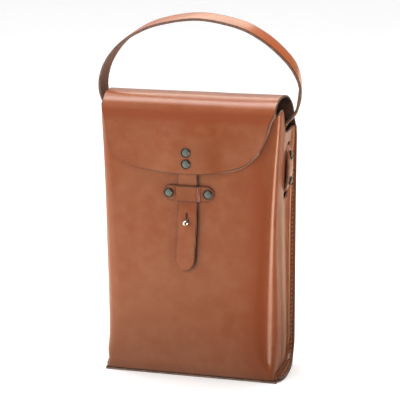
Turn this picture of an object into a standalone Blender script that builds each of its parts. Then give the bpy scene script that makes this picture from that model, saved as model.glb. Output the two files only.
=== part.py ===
"""A leather bag for six boules, standing upright with its flap fastened.

Metres, +Z up, the front faces -Y. The origin is on the floor under the middle of the bag's box.
"""

import math

import bmesh
import bpy
from mathutils import Vector

MM = 0.001

# Leather thicknesses and the clearance between pieces
BODY_LEATHER = 2.4 * MM
FLAP_LEATHER = 2.4 * MM
TONGUE_LEATHER = 2.2 * MM
KEEPER_LEATHER = 2.2 * MM
HANDLE_LEATHER = 3.0 * MM
SEAT = 0.3 * MM

# Body
BODY_HEIGHT = 279 * MM
BACK_Y = 76.5 * MM
BEND_RADIUS = 26 * MM
SEAM_CORNER_Y = 7 * MM
SEAM_HALF = 95 * MM
LEAST_FLANGE = 1 * MM
LEAST_SIDE = 0.4 * MM
FRONT_BULGE = 3 * MM
FRONT_DROP = 3 * MM
FRONT_DROP_SPAN = 8 * MM
FRONT_HALF = 87 * MM
BAG_PLACE = (-1.2 * MM, -31.3 * MM, 0)
FRONT_LEAN_LOW = -2.5 * MM
FRONT_LEAN_HIGH = 1.5 * MM
SEAM_PUSH = 3 * MM
SHAPED_TOP_START = 225 * MM

# Flap
FLAP_HALF_REAR = 92.5 * MM
FLAP_HALF_FOLD = 88.5 * MM
FLAP_TAPER_START = 245 * MM
FLAP_REAR_START = 262 * MM
TONGUE_SWELL_HALF = 28 * MM
FOLD_SWELL = 1.2 * MM
FOLD_SWELL_START = 215 * MM
FOLD_SWELL_SPAN = 50 * MM

# Handle
HANDLE_WIDTH = 21 * MM
STRAP_Y = 46 * MM

# Slots that the handle is woven through, one pair in each side
SLOT_HEIGHT = 11.6 * MM
SLOT_MARGIN = 0.8 * MM
SLOT_CUT_DEPTH = 18 * MM
UPPER_SLOT_Z = 236 * MM
LOWER_SLOT_Z = 190 * MM

# Tongue, keeper, stud and rivets
HOLE_REACH = 12 * MM
TONGUE_HALF = 10 * MM
TONGUE_TOP_Z = 246 * MM
TONGUE_TIP_Z = 115 * MM
TONGUE_TIP_LENGTH = 11 * MM
TONGUE_MIDDLE = 0.6 * MM
TONGUE_LEAN = -1.8 * MM
KEEPER_CENTRE = (1.5 * MM, 194 * MM)
KEEPER_HALF_LENGTH = 26 * MM
KEEPER_HALF_HEIGHT = 8 * MM
KEEPER_RIVET_REACH = 20 * MM
HUMP_HALF = 13 * MM
HUMP_RISE = 2.4 * MM
STUD_Z = 165 * MM
STUD_BALL = 3.2 * MM
STUD_NECK = 1.5 * MM
STUD_HOLE_ROOM = 0.5 * MM
STUD_COLLAR = 3.6 * MM
STUD_COLLAR_HEIGHT = 1.5 * MM
STUD_SCREW = 3.4 * MM
STUD_SCREW_HEIGHT = 1 * MM
RIVET_CAP = 4.8 * MM
RIVET_RIM = 0.5 * MM
RIVET_DOME = 1.1 * MM
RIVET_SHANK = 1.4 * MM
RIVET_WASHER = 3.6 * MM
RIVET_WASHER_HEIGHT = 0.7 * MM
RIVET_ROOM = 1.4 * MM
FLAP_RIVET_HEIGHTS = {"flap_rivet_upper": 236 * MM, "flap_rivet_lower": 224.5 * MM}
STRAP_RIVET_HEIGHTS = {"upper": 227 * MM, "lower": 202 * MM}

# Ribs of the moulded front and sides, from the bottom corner up, in millimetres:
# height on the front, run of the seam that it reaches, half width, front crease radius, seam fillet
RIBS = (
    (5.8, 0.0, 86.0, 3.6, 1.6),
    (11.0, 17.0, 86.6, 6.0, 2.5),
    (22.0, 43.0, 87.2, 10.0, 3.0),
    (43.0, 71.5, 87.6, 15.0, 3.0),
    (80.0, 117.5, 87.9, 15.0, 3.0),
    (130.0, 176.5, 88.1, 12.0, 3.0),
    (180.0, 230.0, 88.6, 10.0, 3.0),
    (225.0, 275.0, 89.8, 8.0, 3.0),
    (254.0, 302.0, 91.2, 7.0, 3.0),
    (279.0, 329.0, 92.0, 6.0, 3.0),
)

# Seam's outer edge, in millimetres: depth behind the front, half width, share of the push to the right
SEAM_EDGE = ((0.0, 89.5, 0.4), (8.0, 92.2, 0.9), (21.0, 95.0, 1.0), (48.0, 94.6, 1.0), (71.0, 95.0, 0.3))

# Share of the seam's push to the right, by height in millimetres
PUSH_FADE = ((30.0, 1.0), (170.0, 0.0))

# Share of the seam's push that a wall takes instead of the front's lean, by depth in millimetres
LEAN_FADE = ((0.0, 0.0), (25.0, 1.0))

# Rows of the strip along the bottom and up the back, in millimetres
BOTTOM_DEPTHS = (-0.4, 8.0, 22.0)
BACK_HEIGHTS = (70, 110, 150, 190)

# Upper edge of the body, in millimetres: depth behind the front, height
TOP_EDGE = (
    (0.0, 275.0), (4.0, 279.0), (13.0, 279.0), (15.5, 267.5), (20.0, 258.5), (28.0, 254.0), (72.0, 253.0),
)

# Outer face of the flap as it arches over the mouth, in millimetres: depth behind the front, height
ARCH = ((76.5, 230.0), (76.5, 250.0), (75.2, 262.0), (70.2, 272.5), (60.6, 281.0), (46.8, 287.5),
        (31.8, 290.6), (17.8, 290.6), (7.2, 287.6), (0.2, 282.4), (-3.4, 275.5))

# Tongue's lift off the front, in millimetres: height, lift over the stud's collar and the rivets' washers
TONGUE_LIFT = (
    (115.0, 3.0), (155.0, 2.6), (173.0, 2.2), (186.0, 0.0), (203.0, 0.0), (217.0, 1.4),
)

# Hem of the flap, in millimetres: distance from the middle, height
HEM = (
    (-84.6, 260.0), (-83.0, 246.0), (-75.0, 229.0), (-60.0, 219.5), (-38.0, 215.5), (-10.0, 214.0),
    (15.0, 214.4), (38.0, 216.5), (56.0, 222.0), (70.0, 235.0), (80.0, 253.0), (85.0, 269.0),
)

# The handle above the slots, in millimetres and degrees: across, depth, height, tilt towards the front
HANDLE_ARCH = (
    (-94.6, 46.0, 268.0, 0.0), (-99.2, 46.0, 277.0, -3.0), (-101.9, 46.0, 288.0, -5.0),
    (-100.8, 45.5, 301.0, -5.0), (-94.9, 44.5, 316.5, -3.0), (-82.5, 43.5, 333.0, 1.0),
    (-65.0, 42.5, 346.6, 6.0), (-40.0, 41.5, 357.8, 10.0), (0.5, 41.5, 364.4, 11.0),
    (40.6, 41.5, 358.2, 11.0), (64.7, 42.5, 347.0, 10.0), (83.1, 43.5, 332.7, 8.0), (96.3, 44.5, 317.6, 4.0),
    (102.8, 45.5, 301.2, -7.0), (102.8, 46.0, 287.0, -13.0), (100.6, 46.0, 276.0, -8.0),
    (97.2, 46.0, 268.0, 0.0),
)

# The woven end of the handle, in millimetres: height, distance of its middle outside the wall's face
WOVEN_END = (
    (262.0, 0.2), (257.5, -2.8), (252.0, -4.7), (247.0, -4.9), (241.0, -4.3), (236.0, -1.1), (231.5, 1.8),
    (227.0, 3.4), (219.0, 4.2), (212.5, 4.4), (206.0, 4.2), (199.0, 3.4), (194.5, 1.8), (190.0, -1.1),
    (185.0, -4.3), (180.0, -4.9), (160.0, -4.9),
)


def clear_scene():
    for found in list(bpy.data.objects):
        bpy.data.objects.remove(found)


def material(name, colour, roughness, metallic=0.0):
    made = bpy.data.materials.new(name)
    made.use_nodes = True
    shader = made.node_tree.nodes["Principled BSDF"]
    shader.inputs["Base Color"].default_value = (*colour, 1)
    shader.inputs["Roughness"].default_value = roughness
    shader.inputs["Metallic"].default_value = metallic
    return made


def smooth_rows(rows, steps):
    """Rows between those of a table, on a Catmull-Rom curve through it."""
    found = []
    last = len(rows) - 1
    for i in range(last):
        before, start, end, after = (rows[max(i - 1, 0)], rows[i], rows[i + 1], rows[min(i + 2, last)])
        for step in range(steps):
            t = step / steps
            found.append(tuple(
                b + (c - a) * t / 2 + (a - 2.5 * b + 2 * c - 0.5 * d) * t**2 + (3 * b - a - 3 * c + d) * t**3 / 2
                for a, b, c, d in zip(before, start, end, after)
            ))
    found.append(rows[-1])
    return found


def between(rows, x, column=1):
    """The value in a column where the first column is x, on straight lines between rows."""
    if x <= rows[0][0]:
        return rows[0][column]
    for start, end in zip(rows, rows[1:]):
        if x <= end[0]:
            t = (x - start[0]) / (end[0] - start[0])
            return start[column] + t * (end[column] - start[column])
    return rows[-1][column]


RIB_ROWS = smooth_rows(RIBS, 3)
HEM_ROWS = smooth_rows(HEM, 4)


def front_y(x, z):
    """The moulded front's outer face: fullest in the middle, flat at its edges."""
    across = max(0.0, 1 - (x / FRONT_HALF) ** 2)
    height = min(max(z / BODY_HEIGHT, 0.0), 1.0)
    return -FRONT_BULGE * across * math.sin(math.pi * height) ** 0.7


def wall_x(z):
    """The side wall's outer face at a height."""
    return between(RIB_ROWS, z / MM, 2) * MM


def seam_point(run):
    """Depth and height of the seam's visible face, at a run in metres from the lower front corner."""
    inset = FLAP_LEATHER + SEAT + BODY_LEATHER
    radius = BEND_RADIUS - inset
    bend_y = BACK_Y - BEND_RADIUS
    flat = bend_y - SEAM_CORNER_Y
    quarter = radius * math.pi / 2
    if run < flat:
        return SEAM_CORNER_Y + run, inset
    if run < flat + quarter:
        angle = (run - flat) / radius
        return bend_y + radius * math.sin(angle), BEND_RADIUS - radius * math.cos(angle)
    return BACK_Y - inset, BEND_RADIUS + run - flat - quarter


def seam_half(y):
    """Half width of the seam's outer edge, which narrows to the lower front corner."""
    return between(SEAM_EDGE, y / MM) * MM


def seam_push(y, z):
    """How far the low part of the seam and the bottom stand to the right of the front."""
    return SEAM_PUSH * between(SEAM_EDGE, y / MM, 2) * between(PUSH_FADE, z / MM)


def wall_push(y, z):
    """Sideways lean of the moulded walls: the front's own at the front, the seam's behind."""
    lean = FRONT_LEAN_LOW + (FRONT_LEAN_HIGH - FRONT_LEAN_LOW) * min(z / BODY_HEIGHT, 1.0)
    behind = between(LEAN_FADE, y / MM)
    return lean * (1 - behind) + seam_push(y, z) * behind


def arc(centre, radius, start, end, steps):
    return [
        (
            centre[0] + radius * math.cos(start + (end - start) * i / steps),
            centre[1] + radius * math.sin(start + (end - start) * i / steps),
        )
        for i in range(steps + 1)
    ]


def rib_outline(row):
    """Half of one rib, from the front's middle round the crease and along the side to the seam's edge."""
    front_z, run, half, crease, fillet = (value * MM for value in row)
    seam_y, seam_z = seam_point(run)
    length = math.hypot(seam_y, seam_z - front_z)
    towards = (seam_y / length, (seam_z - front_z) / length)
    fillet = min(fillet, seam_half(seam_y) - half - LEAST_FLANGE)
    crease = min(crease, length - fillet - LEAST_SIDE)
    flat = [((half - crease) * share, 0.0) for share in (0, 0.27, 0.54, 0.8)]
    corner = arc((half - crease, crease), crease, -math.pi / 2, 0, 4)
    side_run = length - crease - fillet
    side = [(half, crease + side_run * share) for share in (0.2, 0.25, 0.31, 0.39, 0.66)]
    turn = arc((half + fillet, length - fillet), fillet, math.pi, math.pi / 2, 3)
    edge = [(seam_half(seam_y), length)]
    drop = FRONT_DROP * max(0.0, 1 - (front_z - RIBS[0][0] * MM) / FRONT_DROP_SPAN)
    return [
        (
            x,
            t * towards[0] + front_y(x, front_z) * (t == 0),
            front_z + t * towards[1] - drop * max(0.0, 1 - t / crease),
        )
        for x, t in flat + corner + side + turn + edge
    ]


def leaning(side, points):
    """One side's rib with its sideways lean, its last point on the seam's outer edge."""
    walls = [(side * x + wall_push(y, z), y, z) for x, y, z in points[:-1]]
    x, y, z = points[-1]
    return walls + [(side * x + seam_push(y, z), y, z)]


def fit_top(point):
    """Draws the upper ribs down to the body's upper edge."""
    x, y, z = point
    if z <= SHAPED_TOP_START:
        return point
    share = (between(TOP_EDGE, y / MM) * MM - SHAPED_TOP_START) / (BODY_HEIGHT - SHAPED_TOP_START)
    return x, y, SHAPED_TOP_START + (z - SHAPED_TOP_START) * share


def grid_object(name, rows, look):
    """A sheet through rows of points, each row as long as the others, as an object."""
    mesh = bpy.data.meshes.new(name)
    body = bmesh.new()
    bmesh.ops.create_grid(body, x_segments=len(rows[0]) - 1, y_segments=len(rows) - 1, size=1)
    body.verts.ensure_lookup_table()
    for index, vert in enumerate(body.verts):
        row, column = divmod(index, len(rows[0]))
        vert.co = Vector(rows[row][column])
    body.to_mesh(mesh)
    body.free()
    made = bpy.data.objects.new(name, mesh)
    bpy.context.collection.objects.link(made)
    mesh.materials.append(look)
    finish(made)
    return made


def finish(made):
    """Smooth shading with crisp edges, and the middle of the bag's box over the origin."""
    made.data.shade_smooth()
    made.data.set_sharp_from_angle(angle=math.radians(40))
    made.location = BAG_PLACE


def thicken(made, thickness):
    solid = made.modifiers.new("Leather", "SOLIDIFY")
    solid.thickness = thickness
    solid.offset = -1
    solid.use_even_offset = True


def cut(made, cutters):
    for cutter in cutters:
        hole = made.modifiers.new(cutter.name, "BOOLEAN")
        hole.object = cutter
        hole.operation = "DIFFERENCE"
        hole.solver = "EXACT"


def as_cutter(made):
    made.hide_render = True
    made.display_type = "WIRE"
    made.location = BAG_PLACE
    return made


def object_from(body, name):
    mesh = bpy.data.meshes.new(name)
    body.to_mesh(mesh)
    body.free()
    made = bpy.data.objects.new(name, mesh)
    bpy.context.collection.objects.link(made)
    return made


def hole_cutter(name, place, direction, radius):
    """A round cutter centred on a place, lying along a direction."""
    body = bmesh.new()
    length = 2 * HOLE_REACH
    bmesh.ops.create_cone(body, cap_ends=True, segments=12, radius1=radius, radius2=radius, depth=length)
    turn = Vector(direction).to_track_quat("Z", "X").to_matrix()
    bmesh.ops.rotate(body, verts=body.verts, matrix=turn)
    bmesh.ops.translate(body, verts=body.verts, vec=Vector(place))
    return as_cutter(object_from(body, name))


def box_cutter(name, place, size):
    body = bmesh.new()
    bmesh.ops.create_cube(body, size=1)
    bmesh.ops.scale(body, verts=body.verts, vec=Vector(size))
    bmesh.ops.translate(body, verts=body.verts, vec=Vector(place))
    return as_cutter(object_from(body, name))


def body_shell(look, cutters):
    """Front and both sides, moulded in one, with the seam's edge turned out along the back and the bottom."""
    rows = []
    for row in RIB_ROWS:
        half = [fit_top(point) for point in rib_outline(row)]
        left = leaning(-1, half)[:0:-1]
        rows.append(left + leaning(1, half))
    made = grid_object("body_shell", rows, look)
    thicken(made, BODY_LEATHER)
    cut(made, cutters)
    return made


def arch_half(z, y):
    """Half width of the strip: the seam's below, narrower where it leaves the body as the flap."""
    if z > FLAP_REAR_START or y < BACK_Y - BEND_RADIUS and z > BODY_HEIGHT / 2:
        share = min(max(y / BACK_Y, 0.0), 1.0)
        return FLAP_HALF_FOLD + (FLAP_HALF_REAR - FLAP_HALF_FOLD) * share
    share = min(max((z - FLAP_TAPER_START) / (FLAP_REAR_START - FLAP_TAPER_START), 0.0), 1.0)
    return seam_half(y) + (FLAP_HALF_REAR - SEAM_HALF) * share


def flap_off(x, z):
    """How far the flap's outer face stands off the front: more over the tongue, more near the fold."""
    over_tongue = (TONGUE_LEATHER + RIVET_ROOM + SEAT) * math.exp(-((x / TONGUE_SWELL_HALF) ** 4))
    near_fold = FOLD_SWELL * min(max((z - FOLD_SWELL_START) / FOLD_SWELL_SPAN, 0.0), 1.0)
    return FLAP_LEATHER + SEAT + over_tongue + near_fold


def back_flap(look, cutters):
    """Bottom, back and flap: one strip that bends up behind, arches over the mouth and hangs in front."""
    columns = 16
    shares = [-1 + 2 * i / columns for i in range(columns + 1)]
    bend_y = BACK_Y - BEND_RADIUS
    centre = (bend_y, BEND_RADIUS)
    profile = [(depth * MM, 0.0) for depth in BOTTOM_DEPTHS]
    profile += arc(centre, BEND_RADIUS, -math.pi / 2, 0, 7)
    profile += [(BACK_Y, height * MM) for height in BACK_HEIGHTS]
    profile += [(y * MM, z * MM) for y, z in smooth_rows(ARCH, 2)]
    rows = [[(arch_half(z, y) * share + seam_push(y, z), y, z) for share in shares] for y, z in profile]
    fold_y, fold_z = profile[-1]
    steps = 7
    for step in range(1, steps + 1):
        row = []
        for share in shares:
            x_hem = HEM[0][0] * MM * -share if share < 0 else HEM[-1][0] * MM * share
            hem_z = between(HEM_ROWS, x_hem / MM) * MM
            down = step / steps
            x = FLAP_HALF_FOLD * share * (1 - down) + x_hem * down
            z = fold_z + (hem_z - fold_z) * down
            y = front_y(x, z) - flap_off(x, z)
            settle = min(1.0, down * 2.5)
            row.append((x, fold_y + (y - fold_y) * settle, z))
        rows.append(row)
    rows = [list(reversed(row)) for row in rows]
    made = grid_object("back_flap", rows, look)
    thicken(made, FLAP_LEATHER)
    cut(made, cutters)
    return made


def tongue_off(z):
    """Outer face of the tongue off the front: flat under the keeper, lifted by the rivets and the stud."""
    return TONGUE_LEATHER + SEAT + between(TONGUE_LIFT, z / MM) * MM


def tongue(look, cutters):
    """The strap that hangs from the flap, passes under the keeper and buttons over the stud."""
    rows = []
    tip = TONGUE_TIP_Z
    straight_steps = 20
    tip_steps = 6
    straight = TONGUE_TOP_Z - tip - TONGUE_TIP_LENGTH
    heights = [TONGUE_TOP_Z - straight * i / straight_steps for i in range(straight_steps + 1)]
    heights += [
        tip + TONGUE_TIP_LENGTH * (1 - math.sin(math.pi / 2 * i / tip_steps)) for i in range(1, tip_steps + 1)
    ]
    for z in heights:
        below = max(0.0, 1 - (z - tip) / TONGUE_TIP_LENGTH)
        half = TONGUE_HALF * math.sqrt(max(1 - below**2, 0.02))
        lean = between(((tip, TONGUE_LEAN), (STUD_Z, TONGUE_MIDDLE)), z)
        rows.append([
            (lean + half * share, front_y(lean + half * share, z) - tongue_off(z), z)
            for share in (-1, -0.5, 0, 0.5, 1)
        ])
    made = grid_object("tongue", list(reversed(rows)), look)
    thicken(made, TONGUE_LEATHER)
    cut(made, cutters)
    return made


def keeper_off(x):
    """Outer face of the keeper off the front: it humps over the tongue."""
    hump = TONGUE_LEATHER + 2.2 * SEAT
    share = min(max((HUMP_HALF - abs(x - TONGUE_MIDDLE)) / HUMP_RISE, 0.0), 1.0)
    return KEEPER_LEATHER + SEAT + hump * share * share * (3 - 2 * share)


def keeper(look, cutters):
    """The round-ended cross strap, riveted at both ends, that holds the tongue down."""
    rows = []
    centre_x, centre_z = KEEPER_CENTRE
    straight = KEEPER_HALF_LENGTH - KEEPER_HALF_HEIGHT
    end_steps = 5
    middle_steps = 18
    end = [
        straight + KEEPER_HALF_HEIGHT * math.sin(math.pi / 2 * i / end_steps) for i in range(1, end_steps + 1)
    ]
    middle = [-straight + 2 * straight * i / middle_steps for i in range(middle_steps + 1)]
    for across in [-value for value in reversed(end)] + middle + end:
        beyond = max(0.0, (abs(across) - straight) / KEEPER_HALF_HEIGHT)
        half = KEEPER_HALF_HEIGHT * math.sqrt(max(1 - beyond**2, 0.02))
        x = centre_x + across
        rows.append([
            (x, front_y(x, centre_z + half * share) - keeper_off(x), centre_z + half * share)
            for share in (1, 0.5, 0, -0.5, -1)
        ])
    made = grid_object("keeper", rows, look)
    thicken(made, KEEPER_LEATHER)
    cut(made, cutters)
    return made


def handle_route():
    """Middle of the strap from the left side's inner end over the top to the right side's: x, y, z, tilt."""
    end = [(wall_x(z * MM) + off * MM, STRAP_Y, z * MM, 0.0) for z, off in WOVEN_END]
    arch = [(x * MM, y * MM, z * MM, tilt) for x, y, z, tilt in HANDLE_ARCH]
    left = [(-x, y, z, tilt) for x, y, z, tilt in reversed(end)]
    return smooth_rows(left + arch + end, 2)


def strap_at(side, z):
    """The strap's outer face where a side rivet sits at a height, and the way that it faces."""
    rows = sorted(WOVEN_END)
    span = 4 * MM
    low, high = ((wall_x(level) + between(rows, level / MM) * MM) for level in (z - span, z + span))
    facing = Vector((side * 2 * span, 0, low - high)).normalized()
    middle = Vector((side * (low + high) / 2, STRAP_Y, z))
    return middle + facing * (HANDLE_LEATHER / 2), facing


def handle_strap(look, cutters):
    """One strap: its middle is the carrying handle, and each end is woven in, out and in through a side."""
    route = handle_route()
    rearward = Vector((0, 1, 0))
    body = bmesh.new()
    rings = []
    for index, (x, y, z, tilt) in enumerate(route):
        before = Vector(route[max(index - 1, 0)][:3])
        after = Vector(route[min(index + 1, len(route) - 1)][:3])
        along = (after - before).normalized()
        level = (rearward - along * rearward.dot(along)).normalized()
        angle = math.radians(tilt)
        across = (level * math.cos(angle) + along.cross(level) * math.sin(angle)) * (HANDLE_WIDTH / 2)
        out = across.normalized().cross(along) * (HANDLE_LEATHER / 2)
        middle = Vector((x, y, z))
        corners = (across + out, -across + out, -across - out, across - out)
        rings.append([body.verts.new(middle + corner) for corner in corners])
    for near, far in zip(rings, rings[1:]):
        for i in range(4):
            body.faces.new((near[i], near[(i + 1) % 4], far[(i + 1) % 4], far[i]))
    body.faces.new(rings[0])
    body.faces.new(list(reversed(rings[-1])))
    bmesh.ops.recalc_face_normals(body, faces=body.faces)
    made = object_from(body, "handle_strap")
    made.data.materials.append(look)
    finish(made)
    cut(made, cutters)
    return made


def turned(name, profile, place, direction, look, steps=16):
    """A turned piece: its profile runs down its outer side, along an axis that points out of the leather."""
    body = bmesh.new()
    corners = [body.verts.new((radius, 0, height)) for radius, height in profile]
    for start, end in zip(corners, corners[1:]):
        body.edges.new((start, end))
    bmesh.ops.spin(body, geom=body.verts[:] + body.edges[:], axis=(0, 0, 1), cent=(0, 0, 0),
                   angle=2 * math.pi, steps=steps, use_merge=True)
    bmesh.ops.remove_doubles(body, verts=body.verts, dist=0.001 * MM)
    bmesh.ops.recalc_face_normals(body, faces=body.faces)
    made = object_from(body, name)
    made.data.materials.append(look)
    finish(made)
    made.location += Vector(place)
    made.rotation_mode = "QUATERNION"
    made.rotation_quaternion = Vector(direction).to_track_quat("Z", "X")
    return made


def rivet(name, place, direction, grip, look):
    """A capped rivet: a domed head, a shank through the leathers and a flat washer behind them."""
    front = -grip - SEAT
    behind = front - RIVET_WASHER_HEIGHT
    profile = [(0, RIVET_RIM + RIVET_DOME), (RIVET_CAP * 0.45, RIVET_RIM + RIVET_DOME * 0.82),
               (RIVET_CAP * 0.8, RIVET_RIM + RIVET_DOME * 0.4), (RIVET_CAP, RIVET_RIM), (RIVET_CAP, 0),
               (RIVET_SHANK, 0), (RIVET_SHANK, front), (RIVET_WASHER, front), (RIVET_WASHER, behind),
               (0, behind)]
    return turned(name, profile, place, direction, look, steps=12)


def ball_stud(look):
    """The ball stud, standing on a collar on the front, with a screw head inside the body."""
    y = front_y(0, STUD_Z)
    collar_top = SEAT + STUD_COLLAR_HEIGHT
    ball_z = tongue_off(STUD_Z) + 0.85 * STUD_BALL + SEAT
    front = -BODY_LEATHER - SEAT
    behind = front - STUD_SCREW_HEIGHT
    ball = arc((0, ball_z), STUD_BALL, math.pi / 2, -math.asin(0.86), 7)
    profile = [(max(radius, 0.0), height) for radius, height in ball]
    profile += [(STUD_NECK, collar_top), (STUD_COLLAR, collar_top), (STUD_COLLAR, SEAT), (RIVET_SHANK, SEAT),
                (RIVET_SHANK, front), (STUD_SCREW, front), (STUD_SCREW, behind), (0, behind)]
    profile[0] = (0, ball_z + STUD_BALL)
    return turned("ball_stud", profile, (0, y, STUD_Z), (0, -1, 0), look)


def main():
    clear_scene()
    body_leather = material("body_leather", (0.36, 0.115, 0.045), 0.42)
    flap_leather = material("flap_leather", (0.38, 0.125, 0.05), 0.42)
    strap_leather = material("strap_leather", (0.35, 0.11, 0.045), 0.45)
    rivet_metal = material("rivet_metal", (0.16, 0.17, 0.17), 0.38, 1.0)
    stud_metal = material("stud_metal", (0.62, 0.56, 0.47), 0.25, 1.0)

    hole = RIVET_SHANK + SEAT
    forward = (0, -1, 0)
    keeper_spots = {
        "keeper_rivet_left": KEEPER_CENTRE[0] - KEEPER_RIVET_REACH,
        "keeper_rivet_right": KEEPER_CENTRE[0] + KEEPER_RIVET_REACH,
    }
    flap_holes, keeper_holes, side_holes = [], [], []
    for name, z in FLAP_RIVET_HEIGHTS.items():
        flap_holes.append(hole_cutter(f"{name}_hole", (0, front_y(0, z), z), forward, hole))
    for name, x in keeper_spots.items():
        z = KEEPER_CENTRE[1]
        keeper_holes.append(hole_cutter(f"{name}_hole", (x, front_y(x, z), z), forward, hole))
    stud_hole = hole_cutter("stud_hole", (0, front_y(0, STUD_Z), STUD_Z), forward, STUD_NECK + STUD_HOLE_ROOM)
    for side, word in ((-1, "left"), (1, "right")):
        for name, z in STRAP_RIVET_HEIGHTS.items():
            place, facing = strap_at(side, z)
            side_holes.append(hole_cutter(f"strap_{word}_{name}_hole", place, facing, hole))
    slots = [
        box_cutter(f"slot_{word}_{place}", (side * wall_x(z), STRAP_Y, z),
                   (SLOT_CUT_DEPTH, HANDLE_WIDTH + 2 * SLOT_MARGIN, SLOT_HEIGHT))
        for side, word in ((-1, "left"), (1, "right"))
        for place, z in (("upper", UPPER_SLOT_Z), ("lower", LOWER_SLOT_Z))
    ]

    body_shell(body_leather, keeper_holes + [stud_hole] + side_holes + slots)
    back_flap(flap_leather, flap_holes)
    tongue(strap_leather, flap_holes + [stud_hole])
    keeper(strap_leather, keeper_holes)
    handle_strap(strap_leather, side_holes)
    ball_stud(stud_metal)

    for name, z in FLAP_RIVET_HEIGHTS.items():
        off = flap_off(0, z) + SEAT
        grip = off - tongue_off(z) + TONGUE_LEATHER
        rivet(name, (0, front_y(0, z) - off, z), forward, grip, rivet_metal)
    for name, x in keeper_spots.items():
        z = KEEPER_CENTRE[1]
        off = keeper_off(x) + SEAT
        rivet(name, (x, front_y(x, z) - off, z), forward, off + BODY_LEATHER, rivet_metal)
    for side, word in ((-1, "left"), (1, "right")):
        for name, z in STRAP_RIVET_HEIGHTS.items():
            place, facing = strap_at(side, z)
            tilt = RIVET_CAP * abs(facing.z)
            grip = abs(place.x) - wall_x(z) + BODY_LEATHER + 2 * SEAT + tilt
            rivet(f"strap_rivet_{word}_{name}", place + facing * 2 * SEAT, facing, grip, rivet_metal)


main()
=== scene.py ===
"""The looks of a leather bag for six boules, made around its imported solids.

Metres, +Z up, the front faces -Y. Sizes here are in the bag's own frame, whose front face lies at depth
zero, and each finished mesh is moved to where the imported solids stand.
"""

from __future__ import annotations

import logging
import math
from collections.abc import Callable
from dataclasses import dataclass, field
from enum import Enum

import bmesh
import bpy
from mathutils import Matrix, Vector, noise


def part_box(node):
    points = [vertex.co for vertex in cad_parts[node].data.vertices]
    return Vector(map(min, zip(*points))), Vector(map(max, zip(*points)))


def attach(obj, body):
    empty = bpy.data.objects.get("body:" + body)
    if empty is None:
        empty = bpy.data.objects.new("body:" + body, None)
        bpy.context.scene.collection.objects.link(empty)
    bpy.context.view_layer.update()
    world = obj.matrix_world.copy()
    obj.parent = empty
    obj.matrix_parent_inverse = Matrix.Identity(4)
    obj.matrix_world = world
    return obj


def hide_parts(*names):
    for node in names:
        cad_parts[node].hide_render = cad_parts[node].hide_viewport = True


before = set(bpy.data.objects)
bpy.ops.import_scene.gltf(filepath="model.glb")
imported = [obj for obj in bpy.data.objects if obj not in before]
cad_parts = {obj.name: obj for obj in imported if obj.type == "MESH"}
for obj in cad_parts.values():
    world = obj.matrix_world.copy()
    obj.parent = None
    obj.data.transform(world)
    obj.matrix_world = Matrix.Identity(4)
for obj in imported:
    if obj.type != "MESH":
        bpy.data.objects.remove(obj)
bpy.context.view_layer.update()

MM = 0.001
ROOT = "root"
FRONTWARD = Vector((0, -1, 0))

# Distance off a stitch line, in millimetres, that is given to every point away from the seams
FAR_OFF = 99.0

Colour = tuple[float, float, float]
Table = tuple[tuple[float, ...], ...]
Rows = list[list[Vector]]
Values = list[list[float]]
Step = tuple[float, ...]

log = logging.getLogger("boules_bag")

# Ribs of the moulded front and sides, from the bottom corner up, in millimetres:
# height on the front, run of the seam that it reaches, half width, front crease radius, seam fillet
RIBS: Table = (
    (5.8, 0.0, 88.6, 1.4, 0.8),
    (11.0, 17.0, 87.0, 4.5, 2.2),
    (22.0, 43.0, 87.2, 9.5, 3.0),
    (43.0, 71.5, 87.6, 15.0, 3.0),
    (80.0, 117.5, 87.9, 15.0, 3.0),
    (130.0, 176.5, 88.1, 12.0, 3.0),
    (180.0, 230.0, 88.6, 10.0, 3.0),
    (225.0, 275.0, 89.8, 8.0, 3.0),
    (254.0, 302.0, 91.2, 7.0, 3.0),
    (279.0, 329.0, 92.0, 6.0, 3.0),
)

# Seam's outer edge, in millimetres: depth behind the front, half width, share of the push to the right
SEAM_EDGE: Table = (
    (0.0, 90.4, 0.5), (8.0, 92.4, 0.9), (21.0, 95.0, 1.0), (48.0, 94.6, 1.0), (71.0, 95.0, 0.3),
)

# Upper edge of the body, in millimetres: depth behind the front, height
TOP_EDGE: Table = (
    (0.0, 275.0), (4.0, 279.0), (13.0, 279.0), (15.5, 267.5), (20.0, 258.5), (28.0, 254.0), (72.0, 253.0),
)

# Outer face of the flap as it arches over the mouth, in millimetres: depth behind the front, height
ARCH: Table = (
    (76.5, 230.0), (76.5, 250.0), (75.2, 262.0), (70.2, 272.5), (60.6, 281.0), (46.8, 287.5),
    (31.8, 290.6), (17.8, 290.6), (7.2, 287.6), (0.2, 282.4), (-3.4, 275.5),
)

# Tongue's lift off the front, in millimetres: height, lift
TONGUE_LIFT: Table = (
    (115.0, 3.0), (155.0, 2.6), (173.0, 2.2), (186.0, 0.0), (203.0, 0.0), (217.0, 1.4),
)

# Hem of the flap, in millimetres: distance from the middle, height
HEM: Table = (
    (-84.6, 260.0), (-83.0, 246.0), (-75.0, 229.0), (-60.0, 219.5), (-38.0, 215.5), (-10.0, 214.0),
    (15.0, 214.4), (38.0, 216.5), (56.0, 222.0), (70.0, 235.0), (80.0, 253.0), (85.0, 269.0),
)

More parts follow.
